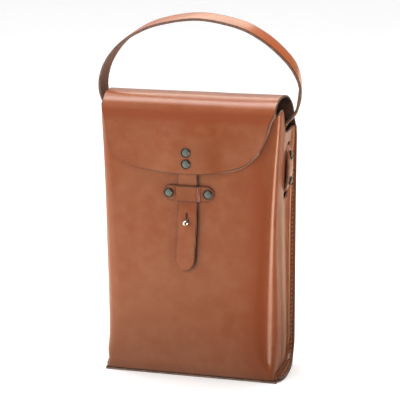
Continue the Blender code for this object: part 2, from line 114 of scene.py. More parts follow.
# The handle above the slots, in millimetres and degrees: across, depth, height, tilt towards the front
HANDLE_ARCH: Table = (
    (-94.6, 46.0, 268.0, 0.0), (-99.2, 46.0, 277.0, -3.0), (-101.9, 46.0, 288.0, -5.0),
    (-100.8, 45.5, 301.0, -5.0), (-94.9, 44.5, 316.5, -3.0), (-82.5, 43.5, 333.0, 1.0),
    (-65.0, 42.5, 346.6, 6.0), (-40.0, 41.5, 357.8, 10.0), (0.5, 41.5, 364.4, 11.0),
    (40.6, 41.5, 358.2, 11.0), (64.7, 42.5, 347.0, 10.0), (83.1, 43.5, 332.7, 8.0), (96.3, 44.5, 317.6, 4.0),
    (102.8, 45.5, 301.2, -7.0), (102.8, 46.0, 287.0, -13.0), (100.6, 46.0, 276.0, -8.0),
    (97.2, 46.0, 268.0, 0.0),
)

# The woven end of the handle, in millimetres: height, distance of its middle outside the wall's face
WOVEN_END: Table = (
    (262.0, 0.2), (257.5, -2.8), (252.0, -4.7), (247.0, -4.9), (241.0, -4.3), (236.0, -1.1), (231.5, 1.8),
    (227.0, 3.4), (219.0, 4.2), (212.5, 4.4), (206.0, 4.2), (199.0, 3.4), (194.5, 1.8), (190.0, -1.1),
    (185.0, -4.3), (180.0, -4.9), (160.0, -4.9),
)

# Share of the seam's push to the right, by height in millimetres
PUSH_FADE: Table = ((30.0, 1.0), (170.0, 0.0))

# Share of the seam's push that a wall takes instead of the front's lean, by depth in millimetres
LEAN_FADE: Table = ((0.0, 0.0), (25.0, 1.0))


class Slot(Enum):
    """Material slots of the record."""

    BODY = "body_leather"
    FLAP = "flap_leather"
    STRAP = "strap_leather"
    RIVET = "rivet_metal"
    STUD = "stud_metal"


class Side(Enum):
    """The two sides of the bag, with the sign of their direction across it."""

    LEFT = -1
    RIGHT = 1

    @property
    def word(self) -> str:
        """The side's plain name."""
        return self.name.lower()


def smooth_rows(rows: Table, steps: int | list[int]) -> list[tuple[float, ...]]:
    """Rows between those of a table, on a Catmull-Rom curve through it.

    Args:
        rows: the table.
        steps: how many steps each span gets, one number or one for each span.

    Returns:
        The rows of the table and those between them.
    """
    found = []
    last = len(rows) - 1
    for i in range(last):
        before, start, end, after = (rows[max(i - 1, 0)], rows[i], rows[i + 1], rows[min(i + 2, last)])
        count = steps if isinstance(steps, int) else steps[i]
        for step in range(count):
            t = step / count
            found.append(tuple(
                b + (c - a) * t / 2 + (a - 2.5 * b + 2 * c - 0.5 * d) * t**2
                + (3 * b - a - 3 * c + d) * t**3 / 2
                for a, b, c, d in zip(before, start, end, after)
            ))
    found.append(tuple(rows[-1]))
    return found


def look_up(rows: list[tuple[float, ...]] | Table, x: float, column: int = 1) -> float:
    """The value in a column where the first column is x.

    Args:
        rows: a table whose first column rises.
        x: where to read it.
        column: which column to read.

    Returns:
        The value, on straight lines between rows.
    """
    if x <= rows[0][0]:
        return rows[0][column]
    for start, end in zip(rows, rows[1:]):
        if x <= end[0]:
            t = (x - start[0]) / (end[0] - start[0])
            return start[column] + t * (end[column] - start[column])
    return rows[-1][column]


def ease(x: float, start: float, end: float) -> float:
    """A smooth step from 0 at start to 1 at end."""
    t = min(max((x - start) / (end - start), 0.0), 1.0)
    return t * t * (3 - 2 * t)


def spread(start: float, end: float, steps: int) -> list[float]:
    """Evenly spaced values from start to end, both included."""
    return [start + (end - start) * i / steps for i in range(steps + 1)]


def guarded(start: float, end: float, steps: int, guard: float) -> list[float]:
    """Evenly spaced values with one more close to each end, which keeps a rounded rim narrow."""
    return [start, start + guard, *spread(start, end, steps)[1:-1], end - guard, end]


def arc(centre: tuple[float, float], radius: float, start: float, end: float, steps: int) -> list[tuple]:
    """Points on an arc.

    Args:
        centre: its centre.
        radius: its radius.
        start: first angle in radians.
        end: last angle in radians.
        steps: how many steps it has.

    Returns:
        Points as pairs.
    """
    return [
        (centre[0] + radius * math.cos(angle), centre[1] + radius * math.sin(angle))
        for angle in spread(start, end, steps)
    ]


SEAM_ROWS = smooth_rows(SEAM_EDGE, 4)
TOP_ROWS = smooth_rows(TOP_EDGE, 4)
LIFT_ROWS = smooth_rows(TONGUE_LIFT, 6)
HEM_ROWS = smooth_rows(HEM, 8)
RIB_WIDTHS = smooth_rows(RIBS, 3)


@dataclass(frozen=True)
class BagForm:
    """Driving sizes of the bag and the faces that its pieces share."""

    body_leather: float = 2.4 * MM
    flap_leather: float = 2.4 * MM
    tongue_leather: float = 2.2 * MM
    keeper_leather: float = 2.2 * MM
    handle_leather: float = 3.0 * MM
    seat: float = 0.3 * MM
    height: float = 279 * MM
    back: float = 76.5 * MM
    bend: float = 26 * MM
    seam_corner: float = 7 * MM
    seam_half: float = 95 * MM
    front_bulge: float = 3 * MM
    front_half: float = 87 * MM
    lean_foot: float = 1.2 * MM
    lean_low: float = -2.5 * MM
    lean_high: float = 1.5 * MM
    seam_push: float = 3 * MM
    dent_depth: float = 0.45 * MM
    dent_span: float = 62 * MM
    fine_dents: float = 2.6
    fine_share: float = 0.45
    foot_blend: tuple[float, float] = (4 * MM, 24 * MM)
    swell_half: float = 28 * MM
    fold_swell: float = 1.2 * MM
    fold_start: float = 215 * MM
    fold_span: float = 50 * MM
    strap_depth: float = 46 * MM
    handle_width: float = 21 * MM
    stud_height: float = 165 * MM
    rivet_room: float = 1.4 * MM

    @property
    def place(self) -> Vector:
        """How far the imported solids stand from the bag's own frame."""
        stud_low, stud_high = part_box("ball_stud")
        return Vector(((stud_low.x + stud_high.x) / 2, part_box("back_flap")[1].y - self.back, 0))

    def dent(self, x: float, z: float) -> float:
        """Slow unevenness of moulded leather, in metres along its normal.

        Args:
            x: place across.
            z: height.

        Returns:
            The rise.
        """
        spot = Vector((x / self.dent_span, 0.7, z / self.dent_span))
        fine = spot * self.fine_dents + Vector((3.1, 0, 1.7))
        return self.dent_depth * (noise.noise(spot) + self.fine_share * noise.noise(fine))

    def front(self, x: float, z: float) -> float:
        """Depth of the moulded front's outer face, fullest in the middle.

        Args:
            x: place across.
            z: height.

        Returns:
            The depth, negative towards the front.
        """
        across = max(0.0, 1 - (x / self.front_half) ** 2)
        height = min(max(z / self.height, 0.0), 1.0)
        fullness = math.sin(math.pi * height) ** 0.7
        return -self.front_bulge * across * fullness + self.dent(x, z) * across * fullness

    def wall(self, z: float) -> float:
        """Distance of a side wall's outer face from the middle."""
        return look_up(RIB_WIDTHS, z / MM, 2) * MM

    def seam_point(self, run: float) -> tuple[float, float]:
        """Depth and height of the seam's visible face, at a run from the lower front corner.

        Args:
            run: the run along the seam.

        Returns:
            Depth and height.
        """
        inset = self.flap_leather + self.seat + self.body_leather
        radius = self.bend - inset
        bend_start = self.back - self.bend
        flat = bend_start - self.seam_corner
        quarter = radius * math.pi / 2
        if run < flat:
            return self.seam_corner + run, inset
        if run < flat + quarter:
            angle = (run - flat) / radius
            return bend_start + radius * math.sin(angle), self.bend - radius * math.cos(angle)
        return self.back - inset, self.bend + run - flat - quarter

    def seam_edge(self, y: float) -> float:
        """Half width of the seam's outer edge at a depth."""
        return look_up(SEAM_ROWS, y / MM) * MM

    def push(self, y: float, z: float) -> float:
        """How far the low part of the seam and the bottom stand to the right of the front."""
        return self.seam_push * look_up(SEAM_ROWS, y / MM, 2) * look_up(PUSH_FADE, z / MM)

    def lean(self, y: float, z: float) -> float:
        """Sideways lean of the moulded walls: the front's own at the front, the seam's behind.

        Args:
            y: depth behind the front.
            z: height.

        Returns:
            How far the wall stands to the right.
        """
        own = self.lean_low + (self.lean_high - self.lean_low) * min(z / self.height, 1.0)
        own += (self.lean_foot - own) * (1 - ease(z, *self.foot_blend))
        behind = look_up(LEAN_FADE, y / MM)
        return own * (1 - behind) + self.push(y, z) * behind

    def tongue_off(self, z: float) -> float:
        """How far the tongue's outer face stands off the front."""
        return self.tongue_leather + self.seat + look_up(LIFT_ROWS, z / MM) * MM

    def flap_off(self, x: float, z: float) -> float:
        """How far the flap's outer face stands off the front: more over the tongue and near the fold.

        Args:
            x: place across.
            z: height.

        Returns:
            The distance.
        """
        room = self.tongue_leather + self.rivet_room + self.seat
        over_tongue = room * math.exp(-((x / self.swell_half) ** 4))
        near_fold = self.fold_swell * min(max((z - self.fold_start) / self.fold_span, 0.0), 1.0)
        return self.flap_leather + self.seat + over_tongue + near_fold


FORM = BagForm()


class NodeBoard:
    """A material's node tree, with short calls for the nodes that the finishes use."""

    def __init__(self, name: str) -> None:
        """Starts a material with its Principled shader.

        Args:
            name: the material's name.
        """
        self.material = bpy.data.materials.new(name)
        self.material.use_nodes = True
        self.tree = self.material.node_tree
        self.shader = self.tree.nodes["Principled BSDF"]

    def add(self, kind: str, **sockets: object) -> bpy.types.Node:
        """Adds a node.

        Args:
            kind: its type.
            sockets: inputs by name, with underscores for spaces, each a value or another node's output.

        Returns:
            The node.
        """
        node = self.tree.nodes.new(kind)
        for name, value in sockets.items():
            self.feed(node.inputs[name.replace("_", " ")], value)
        return node

    def feed(self, socket: bpy.types.NodeSocket, value: object) -> None:
        """Sets a socket to a value, or links an output to it.

        Args:
            socket: the input.
            value: a value or another node's output.
        """
        if isinstance(value, bpy.types.NodeSocket):
            self.tree.links.new(value, socket)
        else:
            socket.default_value = value

    def set(self, name: str, value: object) -> None:
        """Sets or links one of the shader's own inputs."""
        self.feed(self.shader.inputs[name], value)

    def place(self) -> bpy.types.NodeSocket:
        """Object coordinates."""
        return self.add("ShaderNodeTexCoord").outputs["Object"]

    def stretched(self, scale: tuple[float, float, float]) -> bpy.types.NodeSocket:
        """Object coordinates, scaled along each axis."""
        return self.add("ShaderNodeMapping", Vector=self.place(), Scale=scale).outputs["Vector"]

    def noise(self, scale: float, detail: float = 2.0, vector: object = None, distortion: float = 0.0,
              roughness: float = 0.5) -> bpy.types.NodeSocket:
        """A noise pattern.

        Args:
            scale: how fine it is, in periods a metre.
            detail: how many finer layers it has.
            vector: its coordinates, or None for plain Object coordinates.
            distortion: how far it is bent.
            roughness: how strong the finer layers are.

        Returns:
            The pattern's value.
        """
        node = self.add("ShaderNodeTexNoise", Vector=self.place() if vector is None else vector,
                        Scale=scale, Detail=detail, Distortion=distortion, Roughness=roughness)
        return node.outputs["Fac"]

    def value(self, name: str) -> bpy.types.NodeSocket:
        """A piece's own named attribute.

        Args:
            name: the attribute.

        Returns:
            Its value.
        """
        node = self.add("ShaderNodeAttribute")
        node.attribute_name = name
        return node.outputs["Fac"]

    def math(self, operation: str, first: object, second: object = 0.0) -> bpy.types.NodeSocket:
        """A sum on two values.

        Args:
            operation: which sum.
            first: a value or an output.
            second: a value or an output.

        Returns:
            Its result.
        """
        node = self.tree.nodes.new("ShaderNodeMath")
        node.operation = operation
        self.feed(node.inputs[0], first)
        self.feed(node.inputs[1], second)
        return node.outputs["Value"]

    def between(self, value: object, low: float, high: float, start: float = 0.0,
                end: float = 1.0) -> bpy.types.NodeSocket:
        """Maps low..high of a value smoothly to start..end.

        Args:
            value: an output.
            low: where the step starts.
            high: where it ends.
            start: result below it.
            end: result above it.

        Returns:
            The mapped value.
        """
        node = self.tree.nodes.new("ShaderNodeMapRange")
        node.interpolation_type = "SMOOTHSTEP"
        self.feed(node.inputs["Value"], value)
        node.inputs["From Min"].default_value = low
        node.inputs["From Max"].default_value = high
        node.inputs["To Min"].default_value = start
        node.inputs["To Max"].default_value = end
        return node.outputs["Result"]

    def mix(self, share: object, first: object, second: object) -> bpy.types.NodeSocket:
        """Mixes two colours.

        Args:
            share: how much of the second shows.
            first: a colour or an output.
            second: a colour or an output.

        Returns:
            The mixed colour.
        """
        node = self.tree.nodes.new("ShaderNodeMix")
        node.data_type = "RGBA"
        colours = [socket for socket in node.inputs if socket.type == "RGBA"]
        self.feed(node.inputs["Factor"], share)
        for socket, colour in zip(colours, (first, second)):
            self.feed(socket, (*colour, 1.0) if isinstance(colour, tuple) else colour)
        return next(socket for socket in node.outputs if socket.type == "RGBA")

    def bump(self, height: object, depth: float, under: object = None) -> bpy.types.NodeSocket:
        """Raises the surface by a pattern.

        Args:
            height: the pattern, from 0 to 1.
            depth: its depth in metres.
            under: the normal of a coarser bump, or None.

        Returns:
            The bent normal.
        """
        node = self.add("ShaderNodeBump", Height=height, Strength=1.0, Distance=depth)
        if under is not None:
            self.feed(node.inputs["Normal"], under)
        return node.outputs["Normal"]


@dataclass(frozen=True)
class GrainFinish:
    """The waxed grain side of vegetable-tanned leather.

    Scales are periods a metre. A step says where a pattern starts and ends to show, and with four values also
    what it gives below and above.
    """

    name: str
    tan: Colour = (0.305, 0.084, 0.026)
    pale: Colour = (0.35, 0.110, 0.040)
    deep: Colour = (0.285, 0.054, 0.009)
    # dark colour of burnished rims, also used for painted shade and shadow
    burnt_and_shadow: Colour = (0.060, 0.019, 0.008)
    skived: Colour = (0.26, 0.135, 0.088)
    # near black of the awl holes: painted shade inside them
    awl_hole_shade: Colour = (0.02, 0.009, 0.005)
    cloud_scale: float = 13
    cloud_share: float = 0.75
    cloud_step: Step = (0.36, 0.66)
    mottle_scale: float = 70
    mottle_share: float = 0.55
    mottle_step: Step = (0.35, 0.7)
    speck_scale: float = 1500
    speck_share: float = 0.34
    speck_step: Step = (0.55, 0.78)
    soil_and_shade_share: float = 0.5
    rim_scale: float = 220
    rim_unevenness: float = 0.8
    burn_step: Step = (0.5, 1.9, 0.85, 0.0)
    bevel_width: float = 1.6
    bevel_line: float = 0.5
    line_step: Step = (0.2, 0.9, 0.8, 0.0)
    cut_blend: float = 0.3
    cut_strength: float = 0.9
    roughness: float = 0.48
    wear_scale: float = 38
    wear_step: Step = (0.3, 0.75, -0.05, 0.07)
    gloss: float = 0.1
    coat: float = 0.8
    coat_roughness: float = 0.24
    pore_scale: float = 1150.0
    pore_depth: float = 0.05 * MM
    wrinkle_scale: float = 150
    wrinkle_depth: float = 0.24 * MM
    scuff_scale: tuple[float, float, float] = (900, 900, 60)
    scuff_depth: float = 0.03 * MM
    scuff_step: Step = (0.62, 0.75)
    hole_depth: float = 0.5 * MM
    stitch_pitch: float = 4.8
    hole_along_step: Step = (0.09, 0.15, 1.0, 0.0)
    hole_off_step: Step = (0.35, 0.6, 1.0, 0.0)

    def material(self) -> bpy.types.Material:
        """Builds the material: mottled tan, darker at the rims, with pores and wrinkles.

        Returns:
            The material.
        """
        board = NodeBoard(self.name)
        hole = self.stitch_holes(board)
        # awl holes painted near black, the shade inside them
        board.set("Base Color", board.mix(hole, self.edged(board, self.mottled(board)), self.awl_hole_shade))
        worn = board.between(board.noise(self.wear_scale, 3, distortion=0.4), *self.wear_step)
        board.set("Roughness", board.math("ADD", worn, self.roughness))
        board.set("Coat Weight", self.coat)
        board.set("Coat Roughness", self.coat_roughness)
        board.set("Specular IOR Level", self.gloss)
        board.set("Normal", self.relief(board, hole))
        return board.material

    def mottled(self, board: NodeBoard) -> bpy.types.NodeSocket:
        """Clouds, mottles and specks, then the painted light and shade of shade and soil_and_shade.

        Args:
            board: the material's nodes.

        Returns:
            The colour.
        """
        cloudy = board.between(board.noise(self.cloud_scale, 3, distortion=0.6), *self.cloud_step)
        mottles = board.between(board.noise(self.mottle_scale, 4, roughness=0.6), *self.mottle_step)
        specks = board.between(board.noise(self.speck_scale, 2), *self.speck_step)
        colour = board.mix(board.math("MULTIPLY", cloudy, self.cloud_share), self.tan, self.deep)
        colour = board.mix(board.math("MULTIPLY", mottles, self.mottle_share), colour, self.pale)
        colour = board.mix(board.math("MULTIPLY", specks, self.speck_share), colour, self.deep)
        # painted shade, and on the handle painted light, in the deep colour
        colour = board.mix(board.value("shade"), colour, self.deep)
        # painted shade and shadow, and the keeper's darker tone, in the dark colour
        return board.mix(board.math("MULTIPLY", board.value("soil_and_shade"), self.soil_and_shade_share), colour, self.burnt_and_shadow)

    def edged(self, board: NodeBoard, colour: bpy.types.NodeSocket) -> bpy.types.NodeSocket:
        """Burns the colour at the rims, and where bevel says lightens the cut and draws a line beside it.

        Args:
            board: the material's nodes.
            colour: the leather's colour.

        Returns:
            The colour with its edges.
        """
        rim = board.value("rim")
        uneven = board.math("MULTIPLY", board.noise(self.rim_scale, 2), self.rim_unevenness)
        burn = board.between(board.math("ADD", rim, uneven), *self.burn_step)
        colour = board.mix(burn, colour, self.burnt_and_shadow)
        bevel = board.value("bevel")
        off_line = board.math("SUBTRACT", rim, self.bevel_width + self.bevel_line)
        line = board.between(board.math("ABSOLUTE", off_line), *self.line_step)
        colour = board.mix(board.math("MULTIPLY", bevel, line), colour, self.burnt_and_shadow)
        cut = board.between(rim, self.bevel_width - self.cut_blend, self.bevel_width, self.cut_strength, 0.0)
        return board.mix(board.math("MULTIPLY", bevel, cut), colour, self.skived)

    def stitch_holes(self, board: NodeBoard) -> bpy.types.NodeSocket:
        """Awl holes between the stitches, from the run along the seam and the distance off its line.

        Args:
            board: the material's nodes.

        Returns:
            1 in a hole and 0 elsewhere.
        """
        run = board.math("FRACT", board.math("DIVIDE", board.value("seam_run"), self.stitch_pitch))
        along = board.math("ABSOLUTE", board.math("SUBTRACT", run, 0.5))
        near = board.between(along, *self.hole_along_step)
        off = board.math("ABSOLUTE", board.value("seam_off"))
        return board.math("MULTIPLY", near, board.between(off, *self.hole_off_step))

    def relief(self, board: NodeBoard, hole: bpy.types.NodeSocket) -> bpy.types.NodeSocket:
        """Wrinkles, fine scuffs, pores and the awl holes.

        Args:
            board: the material's nodes.
            hole: where the awl holes are.

        Returns:
            The bent normal.
        """
        wrinkles = board.noise(self.wrinkle_scale, 5, distortion=1.4, roughness=0.62)
        pores = board.add("ShaderNodeTexVoronoi", Vector=board.place(), Scale=self.pore_scale, Randomness=1.0)
        pores.feature = "SMOOTH_F1"
        scuffs = board.noise(1.0, 3, vector=board.stretched(self.scuff_scale))
        normal = board.bump(wrinkles, self.wrinkle_depth)
        normal = board.bump(board.between(scuffs, *self.scuff_step), -self.scuff_depth, normal)
        normal = board.bump(pores.outputs["Distance"], self.pore_depth, normal)
        return board.bump(hole, -self.hole_depth, normal)


@dataclass(frozen=True)
class BareFinish:
    """Leather without its grain, dull and two-toned: fine marks of one colour, and clouds of the darker."""

    name: str
    light: Colour
    dark: Colour
    mark_scale: float
    mark_roughness: float
    cloud_scale: float
    cloud_step: Step
    roughness: float
    gloss: float
    depth: float
    mark_step: Step = (0.35, 0.65)

    def material(self) -> bpy.types.Material:
        """Builds the material: marks that are coloured and raised, and slow clouds.

        Returns:
            The material.
        """
        board = NodeBoard(self.name)
        marks = board.noise(self.mark_scale, 4, roughness=self.mark_roughness)
        clouds = board.noise(self.cloud_scale, 2)
        colour = board.mix(board.between(marks, *self.mark_step), self.dark, self.light)
        colour = board.mix(board.between(clouds, *self.cloud_step), colour, self.dark)
        board.set("Base Color", colour)
        board.set("Roughness", self.roughness)
        board.set("Specular IOR Level", self.gloss)
        board.set("Normal", board.bump(marks, self.depth))
        return board.material

    @classmethod
    def flesh_side(cls, name: str, light: Colour, dark: Colour) -> BareFinish:
        """The fibrous inner side, matt."""
        return cls(name, light, dark, mark_scale=420, mark_roughness=0.7, cloud_scale=26,
                   cloud_step=(0.4, 0.7, 0.0, 0.4), roughness=0.82, gloss=0.3, depth=0.12 * MM)

    @classmethod
    def cut_edge(cls, name: str, light: Colour, dark: Colour) -> BareFinish:
        """The burnished edge, layered, with a dull polish."""
        return cls(name, light, dark, mark_scale=330, mark_roughness=0.65, cloud_scale=48,
                   cloud_step=(0.45, 0.75, 0.0, 0.6), roughness=0.5, gloss=0.5, depth=0.08 * MM)


@dataclass(frozen=True)
class ThreadFinish:
    """Waxed linen thread."""

    name: str = "waxed_thread"
    light: Colour = (0.50, 0.36, 0.22)
    dark: Colour = (0.27, 0.165, 0.085)
    ply_scale: tuple[float, float, float] = (2600, 2600, 1100)
    ply_depth: float = 0.1 * MM
    ply_step: Step = (0.35, 0.65)
    soil_scale: float = 36
    soil_step: Step = (0.45, 0.7, 0.0, 0.55)
    roughness: float = 0.6

    def material(self) -> bpy.types.Material:
        """Builds the material: twisted, slightly soiled linen.

        Returns:
            The material.
        """
        board = NodeBoard(self.name)
        ply = board.noise(1.0, 2, vector=board.stretched(self.ply_scale))
        soil_and_shade = board.noise(self.soil_scale, 2)
        colour = board.mix(board.between(ply, *self.ply_step), self.dark, self.light)
        colour = board.mix(board.between(soil_and_shade, *self.soil_step), colour, self.dark)
        board.set("Base Color", colour)
        board.set("Roughness", self.roughness)
        board.set("Normal", board.bump(ply, self.ply_depth))
        return board.material


@dataclass(frozen=True)
class MetalFinish:
    """Plated metal, with a dark finish that has worn off where the worn attribute says."""

    name: str
    plated: Colour
    worn: Colour
    roughness: float
    patch_scale: float = 900
    worn_step: Step = (0.25, 0.7, 0.7, 1.0)
    dull_step: Step = (0.3, 0.7, -0.04, 0.06)
    grain_scale: float = 1800
    grain_depth: float = 0.02 * MM

    def material(self) -> bpy.types.Material:
        """Builds the material: mottled plating over brighter metal.

        Returns:
            The material.
        """
        board = NodeBoard(self.name)
        patches = board.noise(self.patch_scale, 3, roughness=0.6)
        share = board.math("MULTIPLY", board.value("worn"), board.between(patches, *self.worn_step))
        board.set("Base Color", board.mix(share, self.plated, self.worn))
        board.set("Metallic", 1.0)
        dulled = board.between(patches, *self.dull_step)
        board.set("Roughness", board.math("ADD", dulled, self.roughness))
        board.set("Normal", board.bump(board.noise(self.grain_scale, 3), self.grain_depth))
        return board.material


@dataclass(frozen=True)
class Wardrobe:
    """Every finish of the bag, made once."""

    body: bpy.types.Material
    flap: bpy.types.Material
    strap: bpy.types.Material
    handle: bpy.types.Material
    flesh: bpy.types.Material
    # flesh side inside the body and flap, painted darker as shade
    inside: bpy.types.Material
    edge: bpy.types.Material
    thread: bpy.types.Material
    rivet: bpy.types.Material
    stud: bpy.types.Material

    @classmethod
    def stocked(cls) -> Wardrobe:
        """Makes the materials.

        Returns:
            The wardrobe.
        """
        strap_pores = 0.035 * MM
        nickel = (0.62, 0.59, 0.55)
        flesh = BareFinish.flesh_side("leather_flesh_side", (0.30, 0.165, 0.115), (0.20, 0.098, 0.065))
        # the flesh side painted much darker for the inside: painted shade
        inside = BareFinish.flesh_side("leather_inside_painted_shade", (0.10, 0.05, 0.033), (0.05, 0.023, 0.015))
        edge = BareFinish.cut_edge("leather_cut_edge", (0.25, 0.145, 0.098), (0.12, 0.063, 0.04))
        rivet = MetalFinish("blackened_rivet", plated=(0.055, 0.053, 0.05), worn=(0.22, 0.27, 0.275),
                            roughness=0.34)
        return cls(
            body=GrainFinish("body_leather_grain").material(),
            flap=GrainFinish("flap_leather_grain").material(),
            strap=GrainFinish("strap_leather_grain", pore_depth=strap_pores).material(),
            # a copy of the strap finish with a brighter deep colour: painted light, mostly on the right limb
            handle=GrainFinish(
                "handle_leather_grain", deep=(0.42, 0.092, 0.020), pore_depth=strap_pores
            ).material(),
            flesh=flesh.material(),
            inside=inside.material(),
            edge=edge.material(),
            thread=ThreadFinish().material(),
            rivet=rivet.material(),
            stud=MetalFinish("nickel_stud", plated=nickel, worn=nickel, roughness=0.16).material(),
        )


@dataclass(frozen=True)
class Hole:
    """A hole in a sheet: a rounded rectangle in the plane of two directions."""

    centre: Vector
    along: Vector
    across: Vector
    half_length: float
    half_width: float
    corner: float
    reach: float = 12 * MM

    def offset(self, point: Vector) -> tuple[float, Vector]:
        """How far a point lies outside the outline, and the way out.

        Args:
            point: a point in the bag's frame.

        Returns:
            The distance, negative inside, and a unit direction.
        """
        local = point - self.centre
        flat = Vector((local.dot(self.along), local.dot(self.across)))
        sign = Vector((math.copysign(1, flat.x), math.copysign(1, flat.y)))
        past = Vector((
            abs(flat.x) - self.half_length + self.corner,
            abs(flat.y) - self.half_width + self.corner,
        ))
        outside = Vector((max(past.x, 0.0), max(past.y, 0.0)))
        distance = outside.length + min(max(past.x, past.y), 0.0) - self.corner
        if outside.length > 0:
            way = outside.normalized()
        else:
            way = Vector((1.0, 0.0)) if past.x > past.y else Vector((0.0, 1.0))
        return distance, self.along * way.x * sign.x + self.across * way.y * sign.y

    def off_plane(self, point: Vector) -> float:
        """Distance of a point from the hole's plane."""
        return abs((point - self.centre).dot(self.along.cross(self.across)))

    def open(self, body: bmesh.types.BMesh, rim: bmesh.types.BMLayerItem) -> None:
        """Opens the hole in a sheet and draws the faces around it to its outline.

        Args:
            body: the sheet.
            rim: the layer that holds each point's distance to the nearest rim, in millimetres.
        """
        inside = [
            face for face in body.faces
            if self.off_plane(face.calc_center_median()) < self.reach
            and self.offset(face.calc_center_median())[0] < 0
        ]
        edge_points = {vert for face in inside for vert in face.verts}
        bmesh.ops.delete(body, geom=inside, context="FACES")
        for vert in edge_points:
            if vert.is_valid:
                distance, way = self.offset(vert.co)
                vert.co -= way * distance
        for vert in body.verts:
            if self.off_plane(vert.co) < self.reach:
                vert[rim] = min(vert[rim], max(self.offset(vert.co)[0], 0.0) / MM)


@dataclass
class Sheet:
    """A piece of leather: rows of points on its grain side, and named values at those points."""

    name: str
    rows: Rows
    thickness: float
    values: dict[str, Values] = field(default_factory=dict)
    holes: list[Hole] = field(default_factory=list)
    layer_names: tuple[str, ...] = ("rim", "shade", "soil_and_shade", "bevel", "seam_run", "seam_off")

    def rim_distance(self) -> Values:
        """Distance of each point from the nearest rim, in millimetres along the sheet.

        Returns:
            One value a point.
        """
        columns = [list(column) for column in zip(*self.rows)]
        by_row = [self.from_ends(row) for row in self.rows]
        by_column = [self.from_ends(column) for column in columns]
        return [
            [min(by_row[i][j], by_column[j][i]) / MM for j in range(len(columns))]
            for i in range(len(self.rows))
        ]

    @staticmethod
    def from_ends(points: list[Vector]) -> list[float]:
        """Distance of each point of a line from the line's nearer end.

        Args:
            points: the line.

        Returns:
            One distance for each point.
        """
        runs = [0.0]
        for start, end in zip(points, points[1:]):
            runs.append(runs[-1] + (end - start).length)
        return [min(run, runs[-1] - run) for run in runs]

    def make(self, grain: bpy.types.Material, flesh: bpy.types.Material,
             edge: bpy.types.Material) -> bpy.types.Object:
        """Makes the piece: a grid through the points, its holes, its thickness and its rounded rims.

        Args:
            grain: the finish of its outer side.
            flesh: the finish of its inner side.
            edge: the finish of its cut edges.

        Returns:
            The finished object, at the origin.
        """
        across = len(self.rows[0])
        body = bmesh.new()
        bmesh.ops.create_grid(body, x_segments=across - 1, y_segments=len(self.rows) - 1, size=1)
        layers = {name: body.verts.layers.float.new(name) for name in self.layer_names}
        seam_far = [[FAR_OFF] * across for _ in self.rows]
        nothing = [[0.0] * across for _ in self.rows]
        found = {"rim": self.rim_distance(), "seam_off": seam_far, **self.values}
        body.verts.ensure_lookup_table()
        for index, vert in enumerate(body.verts):
            row, column = divmod(index, across)
            vert.co = self.rows[row][column]
            for name, layer in layers.items():
                vert[layer] = found.get(name, nothing)[row][column]
        for hole in self.holes:
            hole.open(body, layers["rim"])
        bmesh.ops.translate(body, verts=body.verts, vec=FORM.place)
        made = piece_from(body, self.name, [grain, flesh, edge])
        self.thicken(made)
        return made

    def thicken(self, made: bpy.types.Object) -> None:
        """Gives the sheet its thickness, with the flesh side behind and cut edges, and rounds its rims.

        Args:
            made: the sheet's object.
        """
        solid = made.modifiers.new("Leather", "SOLIDIFY")
        solid.thickness = self.thickness
        solid.offset = -1
        solid.material_offset = 1
        solid.material_offset_rim = 2
        rounded = made.modifiers.new("Rounded rims", "SUBSURF")
        rounded.levels = 1
        rounded.render_levels = 1


def painted(rows: Rows, rule: Callable[[Vector], float]) -> Values:
    """A rule's value at each point of a piece."""
    return [[rule(point) for point in row] for row in rows]


def piece_from(body: bmesh.types.BMesh, name: str, looks: list[bpy.types.Material]) -> bpy.types.Object:
    """Turns a finished bmesh into an object with smooth shading.

    Args:
        body: the mesh, which is freed.
        name: the object's name.
        looks: its materials, one for each slot.

    Returns:
        The object.
    """
    mesh = bpy.data.meshes.new(name)
    body.to_mesh(mesh)
    body.free()
    mesh.shade_smooth()
    for look in looks:
        mesh.materials.append(look)
    made = bpy.data.objects.new(name, mesh)
    bpy.context.collection.objects.link(made)
    return made


def dress(piece: bpy.types.Object, slot: Slot, *nodes: str) -> bpy.types.Object:
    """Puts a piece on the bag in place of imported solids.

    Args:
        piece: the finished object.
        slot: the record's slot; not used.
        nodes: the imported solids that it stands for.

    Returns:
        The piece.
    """
    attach(piece, ROOT)
    if nodes:
        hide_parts(*nodes)
    log.info("%s stands for %s", piece.name, ", ".join(nodes) or "no solid")
    return piece


